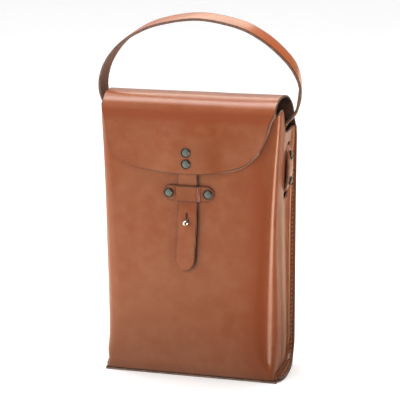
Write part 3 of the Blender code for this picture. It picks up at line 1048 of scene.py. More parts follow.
@dataclass
class BodyShell:
    """The front and both sides, moulded in one, with the seam's edge turned out."""

    row_length: float = 3.6
    near_tongue: float = 16 * MM
    near_steps: int = 8
    front_steps: int = 13
    crease_steps: int = 7
    side_steps: int = 18
    turn_steps: int = 3
    front_drop: float = 3 * MM
    drop_span: float = 8 * MM
    least_flange: float = 1 * MM
    least_side: float = 0.4 * MM
    stitch_inset: float = 3 * MM
    groove_depth: float = 0.35 * MM
    groove_half: float = 0.9 * MM
    pucker_depth: float = 0.75 * MM
    pucker_span: float = 8.5 * MM
    side_bow: float = 1.5 * MM
    bow_span: float = 60 * MM
    end_guard: float = 0.06
    rim_share: float = 0.18
    least_room: float = 0.3 * MM
    flange_points: int = 5
    side_dent: float = 0.5 * MM
    side_dent_spans: tuple[float, float] = (30 * MM, 70 * MM)
    side_seed: float = 4.2
    pucker_seed: float = 9.1
    pucker_reach: float = 11 * MM
    pucker_drift: float = 20 * MM
    pucker_start: tuple[float, float] = (30 * MM, 52 * MM)
    pucker_end: tuple[float, float] = (88 * MM, 120 * MM)
    # Painted shade beside the creases, standing for their dark reflection
    deep_crease: float = 74 * MM
    deep_half: tuple[float, float] = (13 * MM, 9 * MM)
    deep_share: float = 0.95
    left_crease: float = -80 * MM
    left_half: float = 6 * MM
    left_share: float = 0.35
    front_only: tuple[float, float] = (3 * MM, 9 * MM)
    # Painted shade towards the bottom and at the foot
    shaded_height: float = 130 * MM
    low_shade: float = 0.66
    foot_share: float = 0.4
    foot_shade: tuple[float, float] = (2 * MM, 16 * MM)
    # Painted shadow on the wall under the strap's ends
    strap_shadow: float = 1.7
    strap_shadow_fade: tuple[float, float] = (2 * MM, 4 * MM)
    # Painted shadow of the tongue on the front, along its right side and round its tip
    tongue_shadow_strength: float = 1.5
    shadow_top: float = 214 * MM
    shadow_tip: float = 125 * MM
    shadow_half: float = 10 * MM
    shadow_middle: Table = ((115 * MM, -1.8 * MM), (165 * MM, 0.6 * MM))
    shadow_side: tuple[float, float] = (-6 * MM, 4 * MM)
    shadow_fade: tuple[float, float] = (0.6 * MM, 3.0 * MM)
    shaped_top: float = 225 * MM
    slot_heights: tuple[float, float] = (236 * MM, 190 * MM)
    slot_half_height: float = 5.0 * MM
    slot_corner: float = 2.2 * MM
    slot_margin: float = 0.8 * MM

    def rib_rows(self) -> list[tuple[float, ...]]:
        """The ribs, with enough rows between them for smooth leather.

        Returns:
            Rows of the ribs' table.
        """
        steps = [
            max(2, round(max(end[0] - start[0], end[1] - start[1]) / self.row_length))
            for start, end in zip(RIBS, RIBS[1:])
        ]
        rows = smooth_rows(RIBS, steps)
        low = tuple(a + (b - a) * self.end_guard for a, b in zip(rows[0], rows[1]))
        high = tuple(b + (a - b) * 2 * self.end_guard for a, b in zip(rows[-2], rows[-1]))
        return [rows[0], low, *rows[1:-1], high, rows[-1]]

    def rib(self, row: tuple[float, ...]) -> list[tuple[Vector, float]]:
        """Half of one rib, from the front's middle round the crease and along the side to the seam's edge.

        Args:
            row: one row of the ribs' table.

        Returns:
            Points with positive x, each with its distance off the stitch line.
        """
        front_z, run, half, crease, fillet = (value * MM for value in row)
        seam_y, seam_z = FORM.seam_point(run)
        length = math.hypot(seam_y, seam_z - front_z)
        towards = (seam_y / length, (seam_z - front_z) / length)
        edge = FORM.seam_edge(seam_y)
        fillet = min(fillet, edge - half - self.least_flange)
        crease = min(crease, length - fillet - self.least_side)
        drop = self.front_drop * max(0.0, 1 - (front_z - RIBS[0][0] * MM) / self.drop_span)
        near = spread(0, self.near_tongue, self.near_steps)
        flat = [(x, 0.0) for x in near + spread(self.near_tongue, half - crease, self.front_steps)[1:-1]]
        corner = arc((half - crease, crease), crease, -math.pi / 2, 0, self.crease_steps)
        side = [(half, t) for t in spread(crease, length - fillet, self.side_steps)[1:-1]]
        turn = arc((half + fillet, length - fillet), fillet, math.pi, math.pi / 2, self.turn_steps)
        flange = [(x, length) for x in self.flange_columns(half + fillet, edge)]
        found = []
        for x, t in flat + corner + side + turn + flange:
            groove = 0.0
            off = edge - self.stitch_inset - x if t == length else FAR_OFF * MM
            if abs(off) < self.groove_half:
                groove = self.groove_depth * (1 - (off / self.groove_half) ** 2)
            sunk = Vector((0, towards[0], towards[1])) * groove
            depth = t * towards[0] + FORM.front(x, front_z) * (t == 0)
            swell = self.side_swell(t, length, run, depth)
            height = front_z + t * towards[1] - drop * max(0.0, 1 - t / length)
            found.append((self.fit_top(Vector((x + swell, depth, height)) + sunk), off / MM))
        return found

    def flange_columns(self, start: float, end: float) -> list[float]:
        """Places across the flange, close together at the stitch groove and the rim.

        Args:
            start: where the flange leaves the fillet.
            end: its outer edge.

        Returns:
            Distances from the middle.
        """
        line = end - self.stitch_inset
        narrow = [line - self.groove_half, line, line + self.groove_half]
        if line - self.groove_half <= start + self.least_room:
            narrow = [start + (end - start) * share for share in (0.25, 0.5, 0.75)]
        return [*narrow, end - self.rim_share * (end - narrow[-1]), end]

    def side_swell(self, t: float, length: float, run: float, y: float) -> float:
        """Unevenness of a side wall: its bow, slow dents, and puckers by the seam at the rounded corner.

        Args:
            t: distance along the rib from the front.
            length: length of the rib.
            run: run of the seam that the rib reaches.
            y: depth behind the front.

        Returns:
            How far the wall stands out there.
        """
        if t <= 0 or t >= length:
            return 0.0
        inward = math.sin(math.pi * min(t / length, 1.0))
        across, up = self.side_dent_spans
        slow = self.side_dent * noise.noise(Vector((y / across, self.side_seed, run / up))) * inward
        slow += self.side_bow * inward * min(length / self.bow_span, 1.0)
        corner = ease(run, *self.pucker_start) * (1 - ease(run, *self.pucker_end))
        near_seam = math.exp(-(((length - t) / self.pucker_reach) ** 2)) * inward**0.5
        drift = 3 * noise.noise(Vector((0, self.pucker_seed, run / self.pucker_drift)))
        wave = math.sin(2 * math.pi * run / self.pucker_span + drift)
        return slow + self.pucker_depth * corner * near_seam * wave

    def fit_top(self, point: Vector) -> Vector:
        """Draws the upper ribs down to the body's upper edge.

        Args:
            point: a point of a rib.

        Returns:
            The point, lower where the upper edge is low.
        """
        if point.z <= self.shaped_top:
            return point
        top = look_up(TOP_ROWS, point.y / MM) * MM
        share = (top - self.shaped_top) / (FORM.height - self.shaped_top)
        return Vector((point.x, point.y, self.shaped_top + (point.z - self.shaped_top) * share))

    def half_row(self, side: Side, points: list[tuple[Vector, float]]) -> list[Vector]:
        """One side's rib with its sideways lean, its flange on the seam's edge.

        Args:
            side: the side of the bag.
            points: the rib's points, each with its distance off the stitch line.

        Returns:
            The points in their places.
        """
        found = []
        for index, (point, _) in enumerate(points):
            on_seam = index >= len(points) - self.flange_points
            shift = FORM.push(point.y, point.z) if on_seam else FORM.lean(point.y, point.z)
            found.append(Vector((side.value * point.x + shift, point.y, point.z)))
        return found

    def shade(self, point: Vector) -> float:
        """Painted shade: deep colour beside both creases, most on the right, for their dark reflection.

        Args:
            point: a point of the shell.

        Returns:
            The share of the deep colour.
        """
        inner, outer = self.deep_half
        width = inner if point.x < self.deep_crease else outer
        by_crease = math.exp(-(((point.x - self.deep_crease) / width) ** 2))
        by_left_crease = self.left_share * math.exp(-(((point.x - self.left_crease) / self.left_half) ** 2))
        front_only = 1 - ease(point.y, *self.front_only)
        return front_only * min(1.0, self.deep_share * by_crease + by_left_crease)

    def soil_and_shade(self, point: Vector) -> float:
        """Painted shade: darker to the bottom and at the foot, under the strap's ends, and the tongue's
        shadow.

        Args:
            point: a point of the shell.

        Returns:
            How dark it is, 1 or more for the darkest.
        """
        low = 1 - ease(point.z, 0, self.shaded_height)
        foot = 1 - ease(point.z, *self.foot_shade)
        # painted shadow on the wall under the strap's ends, between the slots
        lower_slot, upper_slot = sorted(self.slot_heights)
        past, short = self.strap_shadow_fade
        half = FORM.handle_width / 2
        beside = 1 - ease(abs(point.y - FORM.strap_depth), half, half + past)
        above = ease(point.z, lower_slot, lower_slot + short)
        between = above * (1 - ease(point.z, upper_slot - short, upper_slot))
        # painted shade towards the bottom and at the foot
        worn = min(1.0, self.low_shade * low**1.3 + self.foot_share * foot)
        return worn + self.strap_shadow * beside * between + self.tongue_shadow(point)

    def tongue_shadow(self, point: Vector) -> float:
        """The tongue's painted shadow on the front, along its right side and round its tip.

        Args:
            point: a point of the shell.

        Returns:
            How dark the line is there.
        """
        if point.y > FORM.body_leather or point.z > self.shadow_top:
            return 0.0
        middle = look_up(self.shadow_middle, point.z)
        below = min(point.z - self.shadow_tip, 0.0)
        off = math.hypot(point.x - middle, below) - self.shadow_half
        to_right = ease(point.x - middle, *self.shadow_side)
        return self.tongue_shadow_strength * to_right * (1 - ease(off, *self.shadow_fade))

    def slots(self) -> list[Hole]:
        """The slots that the handle is woven through.

        Returns:
            Two holes for each side.
        """
        return [
            Hole(
                centre=Vector((side.value * FORM.wall(z), FORM.strap_depth, z)),
                along=Vector((0, 1, 0)),
                across=Vector((0, 0, 1)),
                half_length=FORM.handle_width / 2 + self.slot_margin,
                half_width=self.slot_half_height,
                corner=self.slot_corner,
            )
            for side in Side
            for z in self.slot_heights
        ]

    def build(self, wardrobe: Wardrobe) -> bpy.types.Object:
        """Builds the shell and puts it on the bag.

        Args:
            wardrobe: the finishes.

        Returns:
            The finished piece.
        """
        rows, runs, offs = [], [], []
        for row in self.rib_rows():
            half = self.rib(row)
            distances = [off for _, off in half]
            rows.append(self.half_row(Side.LEFT, half)[:0:-1] + self.half_row(Side.RIGHT, half))
            offs.append(distances[:0:-1] + distances)
            runs.append([row[1]] * len(rows[-1]))
        values = {
            "shade": painted(rows, self.shade),
            "soil_and_shade": painted(rows, self.soil_and_shade),
            "seam_run": runs,
            "seam_off": offs,
        }
        sheet = Sheet("moulded_body", rows, FORM.body_leather, values, self.slots())
        return dress(sheet.make(wardrobe.body, wardrobe.inside, wardrobe.edge), Slot.BODY, "body_shell")


@dataclass
class BackAndFlap:
    """Bottom, back and flap: one strip that bends up behind, arches over the mouth and hangs in front."""

    half_rear: float = 92.5 * MM
    half_fold: float = 88.5 * MM
    taper_start: float = 245 * MM
    rear_start: float = 262 * MM
    columns: int = 56
    column_guard: float = 0.004
    bottom_steps: int = 9
    bend_steps: int = 12
    back_steps: int = 42
    arch_start: float = 230 * MM
    front_end: float = 0.4 * MM
    first_row: float = 4 * MM
    front_rows: int = 26
    last_row: float = 0.988
    settle: float = 22 * MM
    curl: float = 2.2 * MM
    curl_width: float = 11 * MM
    corner_left: float = -77 * MM
    corner_right: float = 72 * MM
    hollow_depth: float = 0.45 * MM
    hollow_place: float = 22 * MM
    hollow_half: float = 6 * MM
    hollow_left: float = 80 * MM
    arch_top: float = 280 * MM
    uneven_depth: float = 0.35 * MM
    uneven_spans: tuple[float, float] = (46 * MM, 22 * MM)
    uneven_seed: float = 5.5
    # Painted shade just below the fold, standing for its dark reflection
    fold_shade_start: tuple[float, float] = (262 * MM, 270 * MM)
    fold_shade_end: tuple[float, float] = (274 * MM, 281 * MM)
    fold_reach: float = 10 * MM
    bevel_side: tuple[float, float] = (25 * MM, 50 * MM)
    bevel_reach: float = 8 * MM
    bevel_top: float = 277 * MM
    # Painted shade low on the back and underneath
    low_shade_strength: float = 0.75
    shaded_height: float = 60 * MM
    stitch_inset: float = 3 * MM
    seam_start: float = 3 * MM
    seam_top: float = 0.9

    def half_width(self, z: float, y: float) -> float:
        """Half width of the strip: the seam's below, narrower where it leaves the body as the flap.

        Args:
            z: height.
            y: depth behind the front.

        Returns:
            The half width.
        """
        if z > self.rear_start or (y < FORM.back - FORM.bend and z > FORM.height / 2):
            share = min(max(y / FORM.back, 0.0), 1.0)
            return self.half_fold + (self.half_rear - self.half_fold) * share
        share = ease(z, self.taper_start, self.rear_start)
        return FORM.seam_edge(y) + (self.half_rear - FORM.seam_half) * share

    def profile(self) -> list[tuple[float, float]]:
        """Depth and height of the strip's outer face, from its front end underneath to the flap's fold.

        Returns:
            One pair for each row.
        """
        bend_start = FORM.back - FORM.bend
        depths = spread(self.first_row, bend_start, self.bottom_steps)[:-1]
        under = [(y, 0.0) for y in (-self.front_end, self.front_end, *depths)]
        bend = arc((bend_start, FORM.bend), FORM.bend, -math.pi / 2, 0, self.bend_steps)
        back = [(FORM.back, z) for z in spread(FORM.bend, self.arch_start, self.back_steps)[1:-1]]
        arch = [(y * MM, z * MM) for y, z in smooth_rows(ARCH, 4)]
        return under + bend + back + arch

    def outline(self, fold_z: float) -> tuple[list[tuple[float, float]], ...]:
        """Left side, right side and bottom of the flap's hanging part, its round corners cut in two.

        Args:
            fold_z: height of the fold that the sides hang from.

        Returns:
            Three lines of points, each across and up.
        """
        hem = [(x * MM, z * MM) for x, z in HEM_ROWS]
        first = next(i for i, (x, _) in enumerate(hem) if x > self.corner_left)
        last = next(i for i, (x, _) in enumerate(hem) if x > self.corner_right)
        left = [(-self.half_fold, fold_z), *hem[:first + 1]]
        right = [(self.half_fold, fold_z), *reversed(hem[last:])]
        return left, right, hem[first:last + 1]

    @staticmethod
    def along(points: list[tuple[float, float]], share: float) -> Vector:
        """The point at a share of a line's length.

        Args:
            points: the line.
            share: from 0 at its start to 1 at its end.

        Returns:
            The point.
        """
        runs = [0.0]
        for start, end in zip(points, points[1:]):
            runs.append(runs[-1] + math.dist(start, end))
        by_run = [(run, *point) for run, point in zip(runs, points)]
        return Vector((look_up(by_run, share * runs[-1], 1), look_up(by_run, share * runs[-1], 2)))

    def front_part(self, shares: list[float], fold: tuple[float, float]) -> Rows:
        """The hanging part of the flap, from the fold to the hem, on rows that follow its round corners.

        Args:
            shares: places across, from 0 to 1.
            fold: depth and height of the fold.

        Returns:
            Rows of points, from the fold down.
        """
        fold_y, fold_z = fold
        left, right, bottom = self.outline(fold_z)
        hem = [self.along(bottom, share) for share in shares]
        fold_left, fold_right = Vector((-self.half_fold, fold_z)), Vector((self.half_fold, fold_z))
        rows = []
        for down in [*spread(0, 1, self.front_rows)[1:-1], self.last_row, 1.0]:
            start, end = self.along(left, down), self.along(right, down)
            row = []
            for share, low in zip(shares, hem):
                top = Vector((self.half_fold * (2 * share - 1), fold_z))
                sides = start * (1 - share) + end * share
                straight = top * (1 - down) + low * down
                top_pair = fold_left * (1 - share) + fold_right * share
                corners = top_pair * (1 - down) + (hem[0] * (1 - share) + hem[-1] * share) * down
                x, z = straight + sides - corners
                y = FORM.front(x, z) - FORM.flap_off(x, z)
                settled = min(1.0, (fold_z - z) / self.settle)
                curl = self.curl * settled * (1 - ease(end.x - x, 0, self.curl_width))
                row.append(Vector((x, fold_y + (y - fold_y) * settled - curl, z)))
            rows.append(row)
        return rows

    def arch_dent(self, x: float, y: float, z: float) -> Vector:
        """A shallow hollow along the top of the arch, deeper towards the left.

        Args:
            x: place across.
            y: depth behind the front.
            z: height.

        Returns:
            How far the leather moves there.
        """
        if z < self.arch_top:
            return Vector()
        hollow = math.exp(-(((y - self.hollow_place) / self.hollow_half) ** 2))
        hollow *= 0.9 + 0.5 * ease(-x, 0, self.hollow_left)
        across, back = self.uneven_spans
        uneven = noise.noise(Vector((x / across, y / back, self.uneven_seed)))
        return Vector((0, 0, -self.hollow_depth * hollow + self.uneven_depth * uneven))

    def shade(self, point: Vector) -> float:
        """Painted shade: the deep colour in a band just below the fold, for its dark reflection."""
        below_fold = ease(point.z, *self.fold_shade_start) * (1 - ease(point.z, *self.fold_shade_end))
        return below_fold * (point.y < self.fold_reach)

    def bevel(self, point: Vector) -> float:
        """Where the cut edge is skived towards the front: along the flap's right side and corner."""
        hanging = point.y < self.bevel_reach and FORM.height / 2 < point.z < self.bevel_top
        return ease(point.x, *self.bevel_side) * hanging

    def soil_and_shade(self, point: Vector) -> float:
        """Painted shade: darker low on the back and underneath, towards the floor."""
        return self.low_shade_strength * (1 - ease(point.z, 0, self.shaded_height))

    def stitch_offs(self, row: list[Vector]) -> list[float]:
        """Distance of each point of a row from the nearer stitch line, in millimetres."""
        left, right = row[0].x, row[-1].x
        return [min(abs(point.x - left), abs(right - point.x)) / MM - self.stitch_inset / MM for point in row]

    def build(self, wardrobe: Wardrobe) -> bpy.types.Object:
        """Builds the strip and puts it on the bag.

        Args:
            wardrobe: the finishes.

        Returns:
            The finished piece.
        """
        shares = guarded(0, 1, self.columns, self.column_guard)
        profile = self.profile()
        rows = []
        for y, z in profile:
            half = self.half_width(z, y)
            rows.append([
                Vector((half * (2 * share - 1) + FORM.push(y, z), y, z))
                + self.arch_dent(half * (2 * share - 1), y, z)
                for share in shares
            ])
        rows += self.front_part(shares, profile[-1])
        runs = self.seam_runs(profile, len(rows))
        seam_end = FORM.height * self.seam_top
        offs = [
            self.stitch_offs(row)
            if index < len(profile) and row[0].z < seam_end and row[0].y > self.seam_start
            else [FAR_OFF] * len(row)
            for index, row in enumerate(rows)
        ]
        values = {
            "shade": painted(rows, self.shade),
            "soil_and_shade": painted(rows, self.soil_and_shade),
            "bevel": painted(rows, self.bevel),
            "seam_run": [[run] * len(shares) for run in runs],
            "seam_off": offs,
        }
        flipped = {name: [list(reversed(row)) for row in found] for name, found in values.items()}
        sheet = Sheet("back_and_flap", [list(reversed(row)) for row in rows], FORM.flap_leather, flipped)
        return dress(sheet.make(wardrobe.flap, wardrobe.inside, wardrobe.edge), Slot.FLAP, "back_flap")

    @staticmethod
    def seam_runs(profile: list[tuple[float, float]], count: int) -> list[float]:
        """Run along the strip of each row, in millimetres, from the seam's lower front corner.

        Args:
            profile: depth and height of the rows up to the fold.
            count: how many rows the whole strip has.

        Returns:
            One run for each row, 0 past the fold.
        """
        runs = [profile[0][0] - FORM.seam_corner]
        for start, end in zip(profile, profile[1:]):
            runs.append(runs[-1] + math.dist(start, end))
        return [run / MM for run in runs] + [0.0] * (count - len(runs))


@dataclass
class Tongue:
    """The strap that hangs from the flap, passes under the keeper and buttons over the stud."""

    half: float = 10 * MM
    top: float = 246 * MM
    tip: float = 115 * MM
    tip_length: float = 11 * MM
    middle: float = 0.6 * MM
    lean: float = -1.8 * MM
    straight_rows: int = 84
    tip_rows: int = 9
    columns: int = 14
    keyhole: float = 2.3 * MM
    keyhole_corner: float = 2.254 * MM
    slit_length: float = 7 * MM
    slit_half: float = 0.35 * MM
    hole_reach: float = 30 * MM
    top_guard: float = 0.7 * MM
    side_shares: tuple[float, float] = (0.12, 0.93)
    tip_squareness: float = 0.02
    crown: float = 0.35 * MM
    # Painted shade round the keyhole, from the stud
    stud_shade: float = 0.7
    stud_shade_half: float = 5 * MM

    def heights(self) -> list[float]:
        """Heights of the rows, close together at the round tip.

        Returns:
            Heights from the top down.
        """
        low = self.tip + self.tip_length
        straight = [self.top, self.top - self.top_guard, *spread(self.top, low, self.straight_rows)[1:]]
        tip = [
            self.tip + self.tip_length * (1 - math.sin(math.pi / 2 * i / self.tip_rows))
            for i in range(1, self.tip_rows + 1)
        ]
        return straight + tip

    def shares(self) -> list[float]:
        """Places across, with a narrow pair in the middle for the slit."""
        side = [self.slit_half / self.half, *spread(*self.side_shares, self.columns // 2 - 1), 1.0]
        return [-share for share in reversed(side)] + side

    def build(self, wardrobe: Wardrobe) -> bpy.types.Object:
        """Builds the tongue with its keyhole and puts it on the bag.

        Args:
            wardrobe: the finishes.

        Returns:
            The finished piece.
        """
        rows = []
        for z in self.heights():
            below = max(0.0, 1 - (z - self.tip) / self.tip_length)
            half = self.half * math.sqrt(max(1 - below**2, self.tip_squareness))
            lean = look_up(((self.tip, self.lean), (FORM.stud_height, self.middle)), z)
            row = []
            for share in self.shares():
                x = lean + half * share
                crown = self.crown * (1 - share**2)
                row.append(Vector((x, FORM.front(x, z) - FORM.tongue_off(z) + self.crown - crown, z)))
            rows.append(row)
        stud = Vector((self.middle, 0, FORM.stud_height))
        across, up = Vector((1, 0, 0)), Vector((0, 0, 1))
        slit_middle = stud + up * (self.keyhole + self.slit_length / 2)
        holes = [
            Hole(stud, across, up, self.keyhole, self.keyhole, self.keyhole_corner, self.hole_reach),
            Hole(slit_middle, across, up, self.slit_half, self.slit_length / 2, 0.0, self.hole_reach),
        ]
        rows.reverse()
        sheet = Sheet("tongue_strap", rows, FORM.tongue_leather, {"shade": painted(rows, self.shade)}, holes)
        return dress(sheet.make(wardrobe.strap, wardrobe.flesh, wardrobe.edge), Slot.STRAP, "tongue")

    def shade(self, point: Vector) -> float:
        """Painted shade: deeper colour round the keyhole, where the stud shades the leather."""
        off = math.hypot(point.x - self.middle, point.z - FORM.stud_height)
        return self.stud_shade * math.exp(-((off / self.stud_shade_half) ** 2))


@dataclass
class Keeper:
    """The round-ended cross strap, riveted at both ends, that holds the tongue down."""

    centre: tuple[float, float] = (1.5 * MM, 194 * MM)
    half_length: float = 26 * MM
    half_height: float = 8 * MM
    hump_half: float = 13 * MM
    hump_rise: float = 2.4 * MM
    tongue_middle: float = 0.6 * MM
    hump_room: float = 2.2
    end_rows: int = 8
    end_squareness: float = 0.02
    middle_rows: int = 52
    columns: int = 12
    column_guard: float = 0.07
    crease_inset: float = 3.4 * MM
    crease_half: float = 1.1 * MM
    crease_depth: float = 0.35 * MM
    crease_wave: float = 1.6 * MM
    # Painted shade in the folds, over a darker tone all over
    shade_inset: float = 1 * MM
    shade_half: float = 2.2 * MM
    shade_strength: float = 0.8
    darker_all_over: float = 0.3
    shade_in_folds: float = 0.6

    def off(self, x: float) -> float:
        """How far the keeper's outer face stands off the front: it humps over the tongue.

        Args:
            x: place across.

        Returns:
            The distance.
        """
        hump = FORM.tongue_leather + self.hump_room * FORM.seat
        reach = self.hump_half - abs(x - self.tongue_middle)
        share = ease(reach, 0, self.hump_rise)
        return FORM.keeper_leather + FORM.seat + hump * share

    def crease(self, x: float, z: float) -> float:
        """Depth of the small creases where the leather turns up over the tongue.

        Args:
            x: place across.
            z: height.

        Returns:
            The depth, negative.
        """
        edge = abs(abs(x - self.tongue_middle) - self.hump_half + self.crease_inset)
        fold = math.exp(-((edge / self.crease_half) ** 2))
        return -self.crease_depth * fold * (0.6 + 0.4 * math.sin(z / self.crease_wave))

    def build(self, wardrobe: Wardrobe) -> bpy.types.Object:
        """Builds the keeper and puts it on the bag.

        Args:
            wardrobe: the finishes.

        Returns:
            The finished piece.
        """
        straight = self.half_length - self.half_height
        end = [
            straight + self.half_height * math.sin(math.pi / 2 * i / self.end_rows)
            for i in range(1, self.end_rows + 1)
        ]
        left_end = [-value for value in reversed(end)]
        shares = guarded(1, -1, self.columns, -self.column_guard)
        rows = []
        for across in left_end + spread(-straight, straight, self.middle_rows) + end:
            beyond = max(0.0, (abs(across) - straight) / self.half_height)
            half = self.half_height * math.sqrt(max(1 - beyond**2, self.end_squareness))
            x = self.centre[0] + across
            row = []
            for share in shares:
                z = self.centre[1] + half * share
                row.append(Vector((x, FORM.front(x, z) - self.off(x) - self.crease(x, z), z)))
            rows.append(row)
        values = {"shade": painted(rows, self.shade), "soil_and_shade": painted(rows, self.soil_and_shade)}
        sheet = Sheet("tongue_keeper", rows, FORM.keeper_leather, values)
        return dress(sheet.make(wardrobe.strap, wardrobe.flesh, wardrobe.edge), Slot.STRAP, "keeper")

    def shade(self, point: Vector) -> float:
        """Painted shade: deeper colour in the folds beside the tongue."""
        edge = abs(abs(point.x - self.tongue_middle) - self.hump_half + self.shade_inset)
        return self.shade_strength * math.exp(-((edge / self.shade_half) ** 2))

    def soil_and_shade(self, point: Vector) -> float:
        """A little darker all over, and most in the folds, where more shade is painted."""
        return self.darker_all_over + self.shade_in_folds * self.shade(point)


@dataclass
class HandleStrap:
    """One strap: its middle is the carrying handle, and its ends are woven in, out and in through a side."""

    steps: int = 6
    columns: int = 8
    column_guard: float = 0.06
    crown: float = 0.3 * MM
    # Painted light down the handle's right limb
    lit_limb_strength: float = 0.8
    lit_limb_side: tuple[float, float] = (30 * MM, 60 * MM)

    def route(self) -> list[tuple[float, ...]]:
        """Middle of the strap from the left side's inner end over the top to the right side's.

        Returns:
            Place and tilt of each row.
        """
        end = [
            ((FORM.wall(z * MM) + off * MM), FORM.strap_depth, z * MM, 0.0) for z, off in WOVEN_END
        ]
        arch = [(x * MM, y * MM, z * MM, tilt) for x, y, z, tilt in HANDLE_ARCH]
        left = [(-x, y, z, tilt) for x, y, z, tilt in reversed(end)]
        return smooth_rows(tuple(left + arch + end), self.steps)

    def build(self, wardrobe: Wardrobe) -> bpy.types.Object:
        """Builds the strap and puts it on the bag.

        Args:
            wardrobe: the finishes.

        Returns:
            The finished piece.
        """
        route = self.route()
        places = [Vector(row[:3]) for row in route]
        rows = []
        rearward = Vector((0, 1, 0))
        for index, (*_, tilt) in enumerate(route):
            before = places[max(index - 1, 0)]
            after = places[min(index + 1, len(route) - 1)]
            along = (after - before).normalized()
            level = (rearward - along * rearward.dot(along)).normalized()
            angle = math.radians(tilt)
            across = level * math.cos(angle) + along.cross(level) * math.sin(angle)
            out = along.cross(across)
            middle = places[index] + out * (FORM.handle_leather / 2 - self.crown)
            rows.append([
                middle + across * (FORM.handle_width / 2 * share) + out * self.crown * (1 - share**2)
                for share in guarded(-1, 1, self.columns, self.column_guard)
            ])
        rows.reverse()
        values = {"shade": painted(rows, self.shade)}
        sheet = Sheet("woven_handle", rows, FORM.handle_leather - self.crown, values)
        return dress(sheet.make(wardrobe.handle, wardrobe.flesh, wardrobe.edge), Slot.STRAP, "handle_strap")

    def shade(self, point: Vector) -> float:
        """Painted light: the brighter, more orange colour down the right limb, lit from the right."""
        return self.lit_limb_strength * ease(point.x, *self.lit_limb_side) * (point.z > FORM.height)


@dataclass(frozen=True)
class Turned:
    """A turned metal piece: its profile runs down its outer side, along an axis out of the leather."""

    name: str
    profile: tuple[tuple[float, float], ...]
    place: Vector
    facing: Vector
    worn_radius: float
    worn_fade: float = 0.4 * MM
    steps: int = 40
    closeness: float = 0.002 * MM
    sharp_degrees: float = 38

    def make(self, look: bpy.types.Material) -> bpy.types.Object:
        """Spins the profile and stands it in its place.

        Args:
            look: its finish.

        Returns:
            The finished object, at the origin.
        """
        body = bmesh.new()
        corners = [body.verts.new((radius, 0, height)) for radius, height in self.profile]
        for start, end in zip(corners, corners[1:]):
            body.edges.new((start, end))
        bmesh.ops.spin(body, geom=body.verts[:] + body.edges[:], axis=(0, 0, 1), cent=(0, 0, 0),
                       angle=2 * math.pi, steps=self.steps, use_merge=True)
        bmesh.ops.remove_doubles(body, verts=body.verts, dist=self.closeness)
        bmesh.ops.recalc_face_normals(body, faces=body.faces)
        worn = body.verts.layers.float.new("worn")
        for vert in body.verts:
            radius = math.hypot(vert.co.x, vert.co.y)
            vert[worn] = 1 - ease(radius, self.worn_radius, self.worn_radius + self.worn_fade)
        turn = self.facing.to_track_quat("Z", "X").to_matrix()
        bmesh.ops.rotate(body, verts=body.verts, matrix=turn)
        bmesh.ops.translate(body, verts=body.verts, vec=self.place)
        made = piece_from(body, self.name, [look])
        made.data.set_sharp_from_angle(angle=math.radians(self.sharp_degrees))
        return made


